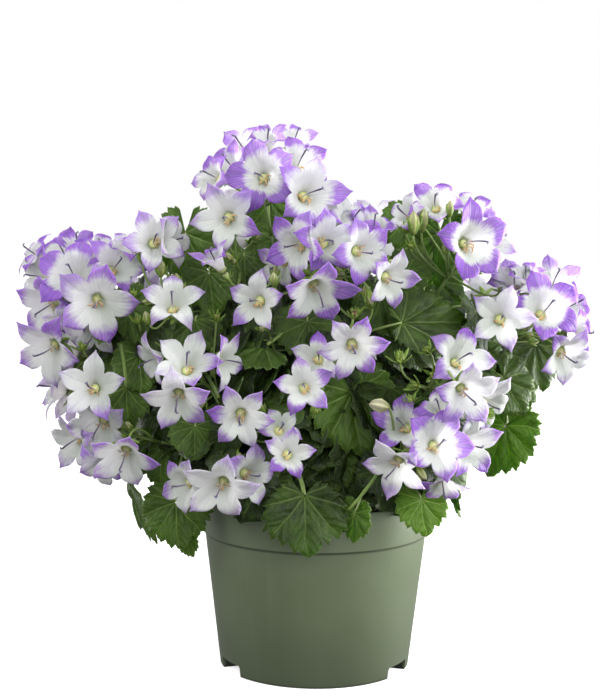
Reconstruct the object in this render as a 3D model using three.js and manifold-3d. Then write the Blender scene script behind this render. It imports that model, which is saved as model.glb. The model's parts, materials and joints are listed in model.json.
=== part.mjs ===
// A potted Serbian bellflower in full bloom: a nursery pot, its soil, and a dome of leafy stems that
// each end in a spray of star-shaped blooms. Millimetres, +Z up, and the front of the plant faces -Y.
// The origin is the middle of the pot's underside.

import * as THREE from 'three';
import { mergeVertices } from 'three/addons/utils/BufferGeometryUtils.js';
import Module from 'manifold-3d';

const wasm = await Module();
wasm.setup();

// Space kept between neighbouring pieces that touch on the real plant
const GAP = 0.3;

// The pot, a round nursery pot 12 cm across its rim
const POT = {
  rimRadius: 60,
  height: 89.4,
  bandHeight: 70.1,
  bandFootRadius: 58.5,
  wallTopRadius: 57.5,
  footRadius: 49.2,
  wall: 1.2,
  lipRounding: 0.8,
  floorHeight: 7,
  floorThickness: 1.4,
  padRadius: 26,
  padSlope: 5,
  padInset: 0.4,
  sides: 32,
};
const NOTCH = { height: 5.7, angle: 22, places: [60, 180, 300], corner: 1.2, depth: 12, below: 2 };
const DRAIN = { count: 6, radius: 3, ring: 39.5, sides: 6, depth: 8 };

// The soil, a shallow mound just below the rim
const SOIL = {
  edgeHeight: 79,
  crownHeight: 83,
  relief: 0.66,
  sides: 20,
  rings: [0.4, 0.75],
  clearance: 0.42,
  floorInset: 1,
};

// Stem sizes, as radii of three-sided tubes. A stem roots in a ring round the pot's middle: the
// higher its spray, the nearer the middle. It rises first and then bends out to its spray.
const STEM = {
  radius: 1.2,
  rootDepth: 8,
  steps: 5,
  holeRadius: 2.9,
  holeSides: 3,
  outerRing: 38,
  innerRing: 9,
  innerHeight: 0.714,
  ringStep: 3,
  overSoil: 4,
  rise: 0.45,
  bend: 0.3,
  overRim: 4,
  endGap: 0.4,
  turns: [0, 14, -14, 28, -28, 42, -42, 60, -60],
  leafPlaces: [0.25, 0.35, 0.45, 0.55, 0.65, 0.75, 0.85],
};
const SPINE = { radius: 1.2, steps: 1 };
const PEDICEL = { radius: 0.65, steps: 2, bend: 0.5, bendMost: 10, stub: 1 };
const PETIOLE = { radius: 0.62, steps: 2, bend: 0.3, sag: 0.1 };

// One open bloom, as shares of the radius out to its petal tips, measured from its throat disc
const BLOOM = {
  notchRadius: 0.5,
  notchHeight: 0.3,
  rimRadius: 0.42,
  rimHeight: 0.37,
  sideRadius: 0.77,
  sideHeight: 0.42,
  sideShare: 0.347,
  tipHeight: 0.4,
  footDepth: 0.26,
  footRadius: 1.5,
  styleHeight: 0.78,
  styleRadius: 0.7,
  styleFoot: 0.3,
};
// A half-open bloom is a deep bell: every height grows by this much
const BELL = { under: 12, stretch: 2.6 };
// A ribbed bud, as shares of its length
const BUD = { girth: 0.27, girthHeight: 0.45, sides: 5 };

// A leaf blade, as shares of its length from petiole to tip
const LEAF = {
  thickness: 1.6,
  stalkWidth: 0.6,
  sideShare: 0.86,
  backShare: 0.6,
  backAngle: 158,
  tooth: 0.13,
  arch: 0.16,
  fold: 0.1,
  tipGrowth: 0.04,
  tipAngle: 20,
  largeLength: 20,
  teeth: 7,
  largeTeeth: 9,
  raises: [0, 8, 16, -8],
  nearestStarts: 14,
};

// The eye that the front of the plant was laid out from, and the dome that its blooms stand on
const EYE = new THREE.Vector3(0, -750, 234);
const DOME = { halfWidth: 158, depth: 92, height: 185, centreHeight: 100, edge: 0.02 };
const CROWN = new THREE.Vector3(0, 0, 96);
const SPRAY = { reach: 30, tip: 10, smallReach: 22, firstStalk: 0.15, lastStalk: 0.95, budStalk: 0.6 };

// Blooms of each front spray. Each row holds, as seen from the eye on the plane y = 0: the throat's
// place across and up, how far the bloom turns right and lifts its face in degrees, the angle of one
// petal, the radius to the petal tips, how far it stands behind the dome, and the number of petals.
const FRONT_SPRAYS = [
  {
    // Top
    blooms: [
      [-29, 250.4, -14, 10, 34, 19, -4, 5],
      [-9.9, 242, 30, 25, 0, 18, 2, 5],
      [-27, 264.5, 0, 62, -34, 15, 8, 5],
      [-11.8, 257, 30, 55, 14, 16, 12, 5],
      [-51.5, 250.8, -60, 5, -15, 15, 14, 5],
      [-45, 256, -40, 45, 40, 15, 26, 5],
      [-38, 265, -120, 50, 10, 14, 34, 5],
    ],
    buds: [],
  },
  {
    // Under the top
    blooms: [
      [-45.8, 231, -8, 0, -26, 19, 0, 5],
      [-47, 208, -20, 60, 0, 10, 14, 5],
    ],
    buds: [],
  },
  {
    // Left shoulder, outer
    blooms: [
      [-125.2, 196.8, -20, 58, -19, 17, 6, 5],
      [-139, 198, -70, 10, 0, 18, 12, 5],
      [-134, 207, -60, 50, 20, 14, 26, 5],
      [-126, 209, -20, 60, 50, 13, 22, 5],
      [-113, 209, 10, 72, 10, 13, 24, 5],
    ],
    buds: [],
  },
  {
    // Left shoulder, inner
    blooms: [
      [-114, 188.5, 0, -18, 4, 21, -8, 5],
      [-106.5, 204, 50, 35, -6, 16, 10, 5],
      [-99, 208, 10, 60, 50, 13, 20, 5],
      [-118, 174, -10, -50, 20, 16, 14, 5],
    ],
    buds: [],
  },
  {
    // Left edge
    blooms: [
      [-136.5, 187, -45, -40, -5, 18, 8, 5],
      [-136.7, 164, -45, -38, -7, 19, 4, 5],
    ],
    buds: [],
  },
  {
    // Low left
    blooms: [
      [-117, 141, -8, 12, 11, 17.5, 0, 5],
      [-112.2, 124.5, -35, -30, -34, 18, 4, 5],
      [-124.6, 115.2, -60, -35, 8, 15, 8, 5],
      [-100.3, 110.5, -30, -45, 21, 18.5, -2, 5],
      [-109, 104, -40, -45, 50, 14, 14, 5],
    ],
    buds: [],
  },
  {
    // High left of centre
    blooms: [
      [-75.1, 182.7, 3, 42, 17, 18.5, 0, 5],
      [-84, 218.7, 35, 0, 26, 16, 4, 5],
    ],
    buds: [
      [-90.2, 207, -10, 75, 9.5, 6],
      [-80.7, 200.5, 10, 70, 9.5, 10],
      [-86.6, 176, -30, 60, 8, 12],
    ],
  },
  {
    // Left of centre
    blooms: [
      [-68.3, 151.5, 3, 42, -7, 19, 2, 5],
      [-71.3, 141.3, -3, -34, 25, 19, -6, 5],
      [-80.7, 159.6, -60, -20, 10, 15, 18, 5],
      [-48.5, 158.5, 55, 8, -10, 17, 12, 5],
    ],
    buds: [],
  },
  {
    // Centre, left
    blooms: [[-30.3, 188.5, 3, 0, 13, 18, 4, 5]],
    buds: [[-22.5, 200, 20, 70, 8, 16]],
  },
  {
    // High centre
    blooms: [
      [-3, 198.4, 25, -42, 17, 20, -4, 5],
      [-16.5, 209, -50, -20, 0, 14, 12, 5],
      [-8.8, 218.8, -50, -15, -10, 18, 0, 5],
      [2.3, 218.7, 40, 5, 10, 17, -2, 5],
      [0, 230, 0, 62, 30, 14, 16, 5],
      [13, 228, 70, 40, 30, 13, 18, 5],
    ],
    buds: [],
  },
  {
    // Centre
    blooms: [
      [18, 167, 4, -12, 8, 18.5, -6, 6],
      [-6.5, 143.5, 0, 15, 29, 16, 0, 5],
      [0.9, 158, 0, 20, 20, 14, 14, 5],
    ],
    buds: [[18.5, 180, 10, 60, 7, 6]],
  },
  {
    // Low centre
    blooms: [
      [-39.3, 130.5, 0, -12, -8, 18.5, -2, 6],
      [-15, 108.5, 8, 14, 7, 14, 0, 5],
      [-20, 120.5, 20, 30, 40, 12, 15, 5],
    ],
    buds: [],
  },
  {
    // Over the rim, left
    blooms: [
      [-48.2, 94.5, -13, -28, 1, 20, -6, 5],
      [-38, 98.8, 40, 0, 2, 17, 8, 5],
      [-64.1, 93.5, -60, -5, 20, 16, 8, 5],
    ],
    buds: [],
  },
  {
    // Right of centre
    blooms: [
      [19, 214.5, 30, -15, -11, 18, 0, 5],
      [31, 221, 50, 38, 40, 13.5, 18, 5],
      [33, 203, 35, -28, -15, 17, -4, 5],
    ],
    buds: [[25.5, 190.5, -20, 70, 8, 10]],
  },
  {
    // High right
    blooms: [
      [58.5, 238, -10, 35, -7, 18.5, 6, 5],
      [73.5, 220, 32, 7, 24, 21, -2, 5],
      [88, 215, 80, 0, 30, 16, 12, 5],
      [94, 199, 60, 45, 60, 14, 18, 5],
    ],
    buds: [
      [48.8, 223, -5, 82, 12.5, 4],
      [53, 224.5, 20, 78, 12.5, 8],
      [67.2, 232.5, 0, 80, 8.5, 2],
    ],
  },
  {
    // Right shoulder
    blooms: [
      [94, 180, -2, 10, 0, 18, 0, 5],
      [114, 183.5, 12, 30, -29, 19.5, -4, 5],
      [129, 190, 75, 0, 30, 16, 14, 5],
      [117, 197, 10, 62, 20, 15, 16, 5],
      [125, 166, 25, -25, -5, 17, 0, 5],
    ],
    buds: [],
  },
  {
    // Middle right
    blooms: [
      [71.7, 157.5, 42, 22, 2, 17, 4, 5],
      [74, 144.5, 45, -33, -8, 18, -4, 5],
    ],
    buds: [
      [43, 157, -10, 70, 9, 12],
      [53, 145, -60, 10, 8, 14],
    ],
  },
  {
    // Low right
    blooms: [
      [61, 113.8, 15, 18, -12, 19.5, -8, 5],
      [47.2, 122.5, -28, 45, -27, 18, 4, 5],
      [42.5, 106.8, -33, -33, 35, 18, -4, 5],
      [80, 112, 60, -20, 55, 17, 12, 5],
      [66, 98, 5, -66, 20, 14, 6, 5],
    ],
    buds: [
      [37.5, 134, -75, 10, 11, 2],
      [53, 102, 30, -30, 9, 12],
    ],
  },
];

// Sprays of the sides, top and back: the turn from the front towards +X in degrees, the height, and
// the share of the way out to the dome
const BACK_SPRAYS = [
  [106, 172, 1],
  [132, 190, 0.95],
  [158, 208, 0.75],
  [215, 222, 0.4],
  [191, 194, 0.95],
  [234, 188, 0.9],
  [264, 146, 1],
  [222, 138, 1],
  [176, 142, 1],
  [136, 128, 1],
];
const BACK = {
  across: 132,
  deep: 108,
  blooms: 3,
  spread: 17,
  radius: [15.5, 18.5],
  lift: 20,
  fanTurn: 25,
  fanLift: 30,
  sway: 20,
  swayRound: 40,
  sameTurn: 72,
};

// Leaves that show from the front. Each row holds, as seen from the eye on the plane y = 0: the place
// where stalk meets blade, across and up, the depth y, the angle of the tip, the blade's length, how
// far its face turns right and lifts in degrees, and the share of its full width.
const SHOWN_LEAVES = [
  [-5.7, 87.5, -74, -89, 31, 2, 22, 1],
  [-73, 83, -44, -82, 24, -12, 20, 0.95],
  [55, 85.5, -60, -86, 18.5, 5, 20, 0.9],
  [20.6, 78, -74, -97, 15.5, -35, 5, 0.8],
  [43.7, 178, -62, 4, 36, 10, 30, 0.75],
  [96, 150, -22, -62, 22, 20, 20, 0.9],
  [112, 168, 6, -84, 24, 20, 20, 0.8],
  [98, 125, -18, -112, 28, -30, 10, 0.85],
  [-96, 90, -24, -68, 30, -70, -10, 0.6],
  [-67, 62.5, -44, -70, 11, -20, 10, 0.8],
  [-98.8, 143, -48, -82, 21, -10, 25, 0.9],
  [-97, 186, -36, -72, 21, -20, 10, 0.7],
  [-68, 223, -18, -90, 27, -15, 5, 0.75],
  [-27, 165, -56, 172, 25, 0, 55, 0.9],
  [18, 141.5, -56, -82, 33, 8, 15, 0.85],
  [6, 108, -52, -100, 22, 0, 15, 0.9],
  [-63, 123, -52, -88, 17, -5, 25, 1],
  [-80, 112, -36, -92, 20, -10, 15, 1],
  [62, 224, -24, -93, 27, -25, 5, 0.65],
  [45, 203, -40, 62, 19, 0, 25, 0.8],
  [72, 92, -42, -86, 15, -75, 0, 0.6],
  [-25, 240, -22, -88, 18, 0, 10, 0.9],
  [30, 100, -58, -60, 22, 10, 25, 0.9],
];

// Leaves that fill the inside, spread along each stem by rule
const FILL = {
  perStem: 2,
  perBackStem: 3,
  from: 0.34,
  to: 0.8,
  stalk: [16, 30],
  outward: 6,
  length: [18, 26],
  width: 0.9,
  turn: [-30, 30],
  lift: [15, 55],
  stalkLift: 12,
  droop: 0.6,
  shrink: 0.75,
  goldenAngle: 137.5,
  trials: 18,
  slide: 0.05,
  swing: 50,
  teeth: 5,
};

const FINISH = {
  pot: { color: 0x66735a, roughness: 0.45, metalness: 0 },
  soil: { color: 0x2b211b, roughness: 0.95, metalness: 0 },
  leaf: { color: 0x4f7f3a, roughness: 0.6, metalness: 0 },
  petal: { color: 0xc9b4ee, roughness: 0.6, metalness: 0 },
};

// Two directions are near enough to parallel when their sideways part is below this
const STRAIGHT = 0.2;

// Small maths

const radians = (angle) => (angle * Math.PI) / 180;
const degrees = (angle) => (angle * 180) / Math.PI;
const mix = (low, high, share) => low + (high - low) * share;

// A seeded draw between 0 and 1
class Draw {
  constructor(seed) {
    this.state = seed;
  }

  next() {
    this.state = (this.state * 1664525 + 1013904223) % 4294967296;
    return this.state / 4294967296;
  }
}

// The point at depth y that the eye sees at (across, up) on the plane y = 0
function alongSight(across, up, y) {
  const share = (y - EYE.y) / -EYE.y;
  return new THREE.Vector3(across, 0, up).sub(EYE).multiplyScalar(share).add(EYE);
}

// Lengths seen at depth y are larger than they are on the plane y = 0
const trueLength = (seen, y) => (seen * (y - EYE.y)) / -EYE.y;

function domeDepth(across, up) {
  const share = across / DOME.halfWidth;
  const rise = Math.max(up - DOME.centreHeight, 0) / DOME.height;
  return -DOME.depth * Math.sqrt(Math.max(1 - share * share - rise * rise, DOME.edge));
}

// Axes of something that faces the given way: out of its face, to its right, and up along it
function facingAxes(turn, lift) {
  const t = radians(turn);
  const l = radians(lift);
  const out = new THREE.Vector3(Math.sin(t) * Math.cos(l), -Math.cos(t) * Math.cos(l), Math.sin(l));
  const right = new THREE.Vector3(Math.cos(t), Math.sin(t), 0);
  return { out, right, up: new THREE.Vector3().crossVectors(out, right) };
}

// Solids

function solidFrom(points, triangles) {
  const vertProperties = new Float32Array(points.flatMap((p) => [p.x, p.y, p.z]));
  const triVerts = new Uint32Array(triangles.flat());
  return new wasm.Manifold(new wasm.Mesh({ numProp: 3, vertProperties, triVerts }));
}

// A geometry as a solid: its shared vertices are merged and its empty triangles dropped
function solidOf(geometry) {
  const bare = geometry.clone();
  bare.deleteAttribute('normal');
  bare.deleteAttribute('uv');
  const merged = mergeVertices(bare, 1e-4);
  const place = merged.getAttribute('position');
  const points = [];
  for (let i = 0; i < place.count; i += 1) {
    points.push(new THREE.Vector3().fromBufferAttribute(place, i));
  }
  const index = merged.getIndex().array;
  const triangles = [];
  for (let i = 0; i < index.length; i += 3) {
    const [a, b, c] = [index[i], index[i + 1], index[i + 2]];
    if (a !== b && b !== c && c !== a) triangles.push([a, b, c]);
  }
  return solidFrom(points, triangles);
}

function geometryOf(solid) {
  const mesh = solid.getMesh();
  const geometry = new THREE.BufferGeometry();
  const positions = new Float32Array(mesh.numVert * 3);
  for (let i = 0; i < mesh.numVert; i += 1) {
    for (let k = 0; k < 3; k += 1) {
      positions[i * 3 + k] = mesh.vertProperties[i * mesh.numProp + k];
    }
  }
  geometry.setAttribute('position', new THREE.BufferAttribute(positions, 3));
  geometry.setIndex(new THREE.BufferAttribute(new Uint32Array(mesh.triVerts), 1));
  return geometry;
}

function roundShape(radius, sides) {
  const shape = new THREE.Shape();
  for (let i = 0; i < sides; i += 1) {
    const angle = (i * 2 * Math.PI) / sides;
    const point = [radius * Math.cos(angle), radius * Math.sin(angle)];
    if (i === 0) shape.moveTo(...point);
    else shape.lineTo(...point);
  }
  shape.closePath();
  return shape;
}

// A tube along a curve
function tube(curve, radius, steps, sides = 3) {
  const shape = roundShape(radius, sides);
  return solidOf(new THREE.ExtrudeGeometry(shape, { steps, extrudePath: curve, curveSegments: 1 }));
}

function lathe(profile, sides) {
  const points = profile.map(([radius, height]) => new THREE.Vector2(radius, height));
  const geometry = new THREE.LatheGeometry(points, sides);
  geometry.rotateX(Math.PI / 2);
  return solidOf(geometry);
}

// Pieces already placed, so that no two nodes cross
const occupied = [];

function occupy(node, kind, solids) {
  for (const solid of solids) occupied.push({ node, kind, solid, box: solid.boundingBox() });
}

function boxesMeet(a, b) {
  for (let k = 0; k < 3; k += 1) {
    if (a.min[k] - GAP > b.max[k] || b.min[k] - GAP > a.max[k]) return false;
  }
  return true;
}

function isClear(solids, isOwn) {
  return solids.every((solid) => {
    const box = solid.boundingBox();
    return occupied.every(
      (other) =>
        isOwn(other) || !boxesMeet(box, other.box) || solid.minGap(other.solid, GAP) >= GAP,
    );
  });
}

const nothing = () => false;
const ownPieces = (node, kinds) => (other) => other.node === node && kinds.includes(other.kind);

// Pot

// The outer radius of the wall below the rim's band
const wallAt = (height) => mix(POT.footRadius, POT.wallTopRadius, height / POT.bandHeight);

function potProfile() {
  const p = POT;
  const floorTop = p.floorHeight + p.floorThickness;
  const padFoot = p.padRadius + p.padSlope;
  const inner = p.rimRadius - p.wall;
  return [
    [0, 0],
    [p.padRadius, 0],
    [padFoot, p.floorHeight],
    [wallAt(p.floorHeight) - p.wall, p.floorHeight],
    [p.footRadius - p.wall, 0],
    [p.footRadius, 0],
    [p.wallTopRadius, p.bandHeight],
    [p.bandFootRadius, p.bandHeight],
    [p.rimRadius, p.height - p.lipRounding],
    [p.rimRadius - p.wall / 2, p.height],
    [inner, p.height - p.lipRounding],
    [p.bandFootRadius - p.wall, p.bandHeight + p.wall],
    [wallAt(p.bandHeight - p.wall) - p.wall, p.bandHeight - p.wall],
    [wallAt(floorTop) - p.wall, floorTop],
    [padFoot - p.padInset, floorTop],
    [p.padRadius - p.padInset, p.floorThickness],
    [0, p.floorThickness],
  ];
}

// A block with rounded upper corners that cuts one notch out of the foot ring
function notchCutter(azimuth) {
  const half = POT.footRadius * Math.sin(radians(NOTCH.angle / 2));
  const { height, corner, depth, below } = NOTCH;
  const shape = new THREE.Shape();
  shape.moveTo(-half, -below);
  shape.lineTo(half, -below);
  shape.lineTo(half, height - corner);
  shape.lineTo(half - corner, height);
  shape.lineTo(corner - half, height);
  shape.lineTo(-half, height - corner);
  shape.closePath();
  const block = new THREE.ExtrudeGeometry(shape, { depth, steps: 1, bevelEnabled: false });
  block.rotateX(Math.PI / 2);
  block.translate(0, -POT.footRadius + depth / 2 + below, 0);
  block.rotateZ(radians(azimuth));
  return solidOf(block);
}

function drainCutter(azimuth) {
  const hole = new THREE.CylinderGeometry(DRAIN.radius, DRAIN.radius, DRAIN.depth, DRAIN.sides);
  hole.rotateX(Math.PI / 2);
  hole.translate(0, -DRAIN.ring, POT.floorHeight);
  hole.rotateZ(radians(azimuth));
  return solidOf(hole);
}

function makePot() {
  let pot = lathe(potProfile(), POT.sides);
  for (const azimuth of NOTCH.places) pot = pot.subtract(notchCutter(azimuth));
  for (let i = 0; i < DRAIN.count; i += 1) {
    pot = pot.subtract(drainCutter((i * 360) / DRAIN.count));
  }
  return pot;
}

// Soil: its sides follow the pot's inside, and its crumbly top gets a hole for each stem

function makeSoil(holes) {
  const p = POT;
  const insideAt = (height) => wallAt(height) - p.wall - SOIL.clearance;
  const floorTop = p.floorHeight + p.floorThickness + GAP;
  const edge = p.bandFootRadius - p.wall - SOIL.clearance;
  const padEdge = p.padRadius - SOIL.floorInset;
  const profile = [
    [0, p.floorThickness + GAP],
    [padEdge, p.floorThickness + GAP],
    [padEdge + p.padSlope, floorTop],
    [insideAt(floorTop), floorTop],
    [insideAt(p.bandHeight - p.wall), p.bandHeight - p.wall],
    [edge, p.bandHeight + p.wall + GAP],
    [edge, SOIL.edgeHeight],
  ];
  for (const ring of [...SOIL.rings].reverse()) {
    profile.push([edge * ring, mix(SOIL.crownHeight, SOIL.edgeHeight, ring * ring)]);
  }
  profile.push([0, SOIL.crownHeight]);
  const points = profile.map(([radius, height]) => new THREE.Vector2(radius, height));
  const geometry = new THREE.LatheGeometry(points, SOIL.sides);
  geometry.rotateX(Math.PI / 2);
  const place = geometry.getAttribute('position');
  for (let i = 0; i < place.count; i += 1) {
    const [x, y, z] = [place.getX(i), place.getY(i), place.getZ(i)];
    if (z < SOIL.edgeHeight - GAP) continue;
    const bump = Math.sin(x * 0.9 + 1.7) * Math.cos(y * 1.1) + 0.6 * Math.sin(x * 0.37 - y * 0.53);
    place.setZ(i, z + SOIL.relief * bump);
  }
  return holes.reduce((soil, hole) => soil.subtract(hole), solidOf(geometry));
}

// Rings and the faces between them

const ringAngles = (count) => Array.from({ length: count }, (_, i) => (i * 360) / count);

// Faces between two rings that both start at the same angle. Each ring is a list of point numbers
// that runs counterclockwise seen from the upper ring's side, and the faces look outwards.
function bridge(lower, upper) {
  const faces = [];
  let i = 0;
  let j = 0;
  while (i < lower.length || j < upper.length) {
    const a = lower[i % lower.length];
    const b = upper[j % upper.length];
    const lowerNext = (i + 1) / lower.length;
    const upperNext = (j + 1) / upper.length;
    if (j === upper.length || (i < lower.length && lowerNext <= upperNext)) {
      i += 1;
      faces.push([a, lower[i % lower.length], b]);
    } else {
      j += 1;
      faces.push([a, upper[j % upper.length], b]);
    }
  }
  return faces;
}

const flipped = (faces) => faces.map(([a, b, c]) => [a, c, b]);

// The rings of a three-sided stalk along a curve, without the one at its far end. Their corners
// follow the given right and up directions.
function stalkRings(points, curve, radius, steps, right, up, angles) {
  const rings = [];
  for (let k = 0; k < steps; k += 1) {
    const tangent = curve.getTangent(k / steps);
    const centre = curve.getPoint(k / steps);
    const side = right.clone().addScaledVector(tangent, -right.dot(tangent));
    if (side.length() < STRAIGHT) side.crossVectors(up, tangent);
    side.normalize();
    const other = new THREE.Vector3().crossVectors(tangent, side);
    rings.push(angles.map((angle) => points.push(
      centre
        .clone()
        .addScaledVector(side, Math.cos(radians(angle)) * radius)
        .addScaledVector(other, Math.sin(radians(angle)) * radius),
    ) - 1));
  }
  return rings;
}

// The faces of a stalk that ends in a ring of its own, with its root closed
function stalkFaces(rings, last) {
  const faces = [[rings[0][0], rings[0][2], rings[0][1]]];
  [...rings.slice(1), last].forEach((ring, k) => faces.push(...bridge(rings[k], ring)));
  return faces;
}

// Blooms

// A stalk's way from its root to the foot of something that faces out
function stalkCurve(root, end, out) {
  const lead = Math.min(PEDICEL.bendMost, root.distanceTo(end) * PEDICEL.bend);
  const control = end.clone().addScaledVector(out, -lead);
  return new THREE.QuadraticBezierCurve3(root, control, end);
}

// A bloom on its stalk: open petals round a funnel, with its style in the middle. Petal by petal:
// the notch between two petals, the petal's shoulder on the funnel's rim, its two sides and its tip.
function bloomSolid({ throat, axes, radius, roll, petals, bell }, root) {
  const b = BLOOM;
  const stretch = bell ? BELL.stretch : 1;
  const step = 360 / petals;
  const start = roll - step / 2;
  const at = (angle, out, height) => {
    const a = radians(angle);
    return throat
      .clone()
      .addScaledVector(axes.right, Math.cos(a) * out)
      .addScaledVector(axes.up, Math.sin(a) * out)
      .addScaledVector(axes.out, height * stretch);
  };
  const points = [];
  const put = (...place) => points.push(at(...place)) - 1;
  const corners = ringAngles(3).map((angle) => angle + start);
  const styleRing = corners.map((angle) => put(angle, b.styleRadius, b.styleFoot));
  const footRing = corners.map((angle) => put(angle, b.footRadius, -b.footDepth * radius));
  const styleTip = put(0, 0, b.styleHeight * radius);
  const notches = [];
  const rims = [];
  const sides = [];
  const tips = [];
  for (let i = 0; i < petals; i += 1) {
    const angle = roll + i * step;
    const side = b.sideShare * step;
    notches.push(put(angle - step / 2, b.notchRadius * radius, b.notchHeight * radius));
    rims.push(put(angle, b.rimRadius * radius, b.rimHeight * radius));
    tips.push(put(angle, radius, b.tipHeight * radius));
    sides.push([-side, side].map((turn) => {
      return put(angle + turn, b.sideRadius * radius, b.sideHeight * radius);
    }));
  }
  const mouth = notches.flatMap((notch, i) => [notch, rims[i]]);
  const faces = [...flipped(bridge(styleRing, mouth)), ...bridge(footRing, notches)];
  styleRing.forEach((corner, i) => faces.push([corner, styleRing[(i + 1) % 3], styleTip]));
  notches.forEach((notch, i) => {
    const next = notches[(i + 1) % petals];
    const [left, right] = sides[i];
    faces.push([rims[i], notch, left], [rims[i], left, tips[i]]);
    faces.push([rims[i], tips[i], right], [rims[i], right, next]);
    faces.push([notch, next, tips[i]], [notch, tips[i], left], [tips[i], next, right]);
  });
  const curve = stalkCurve(root, at(0, 0, -b.footDepth * radius), axes.out);
  const { radius: girth, steps } = PEDICEL;
  const rings = stalkRings(points, curve, girth, steps, axes.right, axes.up, corners);
  faces.push(...stalkFaces(rings, footRing));
  return solidFrom(points, faces);
}

// A closed bud on its stalk
function budSolid(foot, axes, length, root) {
  const points = [];
  const corners = ringAngles(3);
  const ring = (count, out, height) =>
    ringAngles(count).map((angle) => points.push(
      foot
        .clone()
        .addScaledVector(axes.right, Math.cos(radians(angle)) * out)
        .addScaledVector(axes.up, Math.sin(radians(angle)) * out)
        .addScaledVector(axes.out, height),
    ) - 1);
  const neck = ring(3, PEDICEL.radius, 0);
  const girth = ring(BUD.sides, BUD.girth * length, BUD.girthHeight * length);
  const tip = points.push(foot.clone().addScaledVector(axes.out, length)) - 1;
  const faces = bridge(neck, girth);
  girth.forEach((corner, i) => faces.push([corner, girth[(i + 1) % BUD.sides], tip]));
  const curve = stalkCurve(root, foot, axes.out);
  const { radius, steps } = PEDICEL;
  faces.push(...stalkFaces(stalkRings(points, curve, radius, steps, axes.right, axes.up, corners), neck));
  return solidFrom(points, faces);
}

// Leaves

// A toothed, kidney-shaped blade on its stalk, thickest where the two join and thin at its edge
function leafSolid({ joint, axes, tipAngle, length, width, teeth }, root, raise) {
  const l = LEAF;
  const a = radians(tipAngle);
  const along = axes.right.clone().multiplyScalar(Math.cos(a)).addScaledVector(axes.up, Math.sin(a));
  const across = new THREE.Vector3().crossVectors(axes.out, along);
  const points = [];
  const put = (x, y, z) => points.push(
    joint.clone().addScaledVector(along, x).addScaledVector(across, y).addScaledVector(axes.out, z),
  ) - 1;
  const half = l.thickness / 2;
  const top = put(0, 0, half);
  const left = put(0, l.stalkWidth, -half);
  const right = put(0, -l.stalkWidth, -half);
  const count = teeth * 2 + 1;
  const edge = [];
  for (let i = 0; i < count; i += 1) {
    const angle = mix(-l.backAngle, l.backAngle, i / (count - 1));
    const turn = Math.abs(angle);
    const share = turn < 90
      ? mix(1, l.sideShare, turn / 90)
      : mix(l.sideShare, l.backShare, turn / 90 - 1);
    const tooth = i % 2 === 0 ? -l.tooth : 0;
    const reach = length * (share + tooth + (turn < l.tipAngle ? l.tipGrowth : 0));
    const x = reach * Math.cos(radians(angle));
    const y = reach * Math.sin(radians(angle)) * width;
    edge.push(put(x, y, l.fold * Math.abs(y) - (l.arch * (x * x + y * y)) / length));
  }
  const faces = [];
  const middle = (count - 1) / 2;
  for (let i = 0; i < count - 1; i += 1) {
    faces.push([top, edge[i], edge[i + 1]], [i < middle ? right : left, edge[i + 1], edge[i]]);
  }
  faces.push([left, edge[middle], right], [top, right, edge[0]], [top, edge[count - 1], left]);
  const reach = root.distanceTo(joint);
  const control = joint
    .clone()
    .addScaledVector(along, -PETIOLE.bend * reach)
    .addScaledVector(axes.out, -PETIOLE.sag * reach);
  control.z += raise;
  const curve = new THREE.QuadraticBezierCurve3(root, control, joint);
  const corners = ringAngles(3).map((angle) => angle + 90);
  const { radius, steps } = PETIOLE;
  const rings = stalkRings(points, curve, radius, steps, across, axes.out, corners);
  faces.push(...stalkFaces(rings, [top, right, left]));
  return solidFrom(points, faces);
}

// The whole plant, grown spray by spray

const depthShifts = [0, 3, -3, 6, -6, 9, -9, 13, -13, 17];

function frontBloom(row) {
  const [across, up, turn, lift, roll, seenRadius, behind, petals] = row;
  const axes = facingAxes(turn, lift);
  return (shift) => {
    const y = domeDepth(across, up) + behind + shift;
    const throat = alongSight(across, up, y);
    const radius = trueLength(seenRadius, y);
    return { throat, axes, radius, roll, petals, bell: seenRadius < BELL.under };
  };
}

function backBlooms([azimuth, height, share], draw) {
  const rise = (height - DOME.centreHeight) / DOME.height;
  const swell = Math.sqrt(1 - rise * rise) * share;
  const a = radians(azimuth);
  const centre = new THREE.Vector3(
    Math.sin(a) * BACK.across * swell,
    -Math.cos(a) * BACK.deep * swell,
    height,
  );
  const blooms = [];
  for (let i = 0; i < BACK.blooms; i += 1) {
    const round = radians(90 + (i * 360) / BACK.blooms + draw.next() * BACK.swayRound);
    const turn = azimuth + Math.cos(round) * BACK.fanTurn + (draw.next() - 0.5) * BACK.sway;
    const lift = BACK.lift + Math.sin(round) * BACK.fanLift + (draw.next() - 0.5) * BACK.sway;
    const axes = facingAxes(turn, lift);
    const side = facingAxes(azimuth, 0);
    const radius = mix(...BACK.radius, draw.next());
    const roll = draw.next() * BACK.sameTurn;
    const throat = centre
      .clone()
      .addScaledVector(side.right, Math.cos(round) * BACK.spread)
      .addScaledVector(side.up, Math.sin(round) * BACK.spread);
    blooms.push((shift) => ({
      throat: throat.clone().addScaledVector(side.out, -shift),
      axes,
      radius,
      roll,
      petals: 5,
      bell: false,
    }));
  }
  return blooms;
}

function footOf(bloom) {
  return bloom.throat.clone().addScaledVector(bloom.axes.out, -BLOOM.footDepth * bloom.radius);
}

// The short stem that a spray's stalks branch from, pointing away from the plant's crown
function spineOf(feet) {
  const middle = new THREE.Vector3();
  for (const foot of feet) middle.addScaledVector(foot, 1 / feet.length);
  const away = middle.clone().sub(CROWN).normalize();
  const reach = feet.length > 2 ? SPRAY.reach : SPRAY.smallReach;
  const base = middle.clone().addScaledVector(away, -reach);
  base.z = Math.max(base.z, CROWN.z);
  const tip = middle.clone().addScaledVector(away, -SPRAY.tip);
  return { base, tip, away };
}

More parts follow.
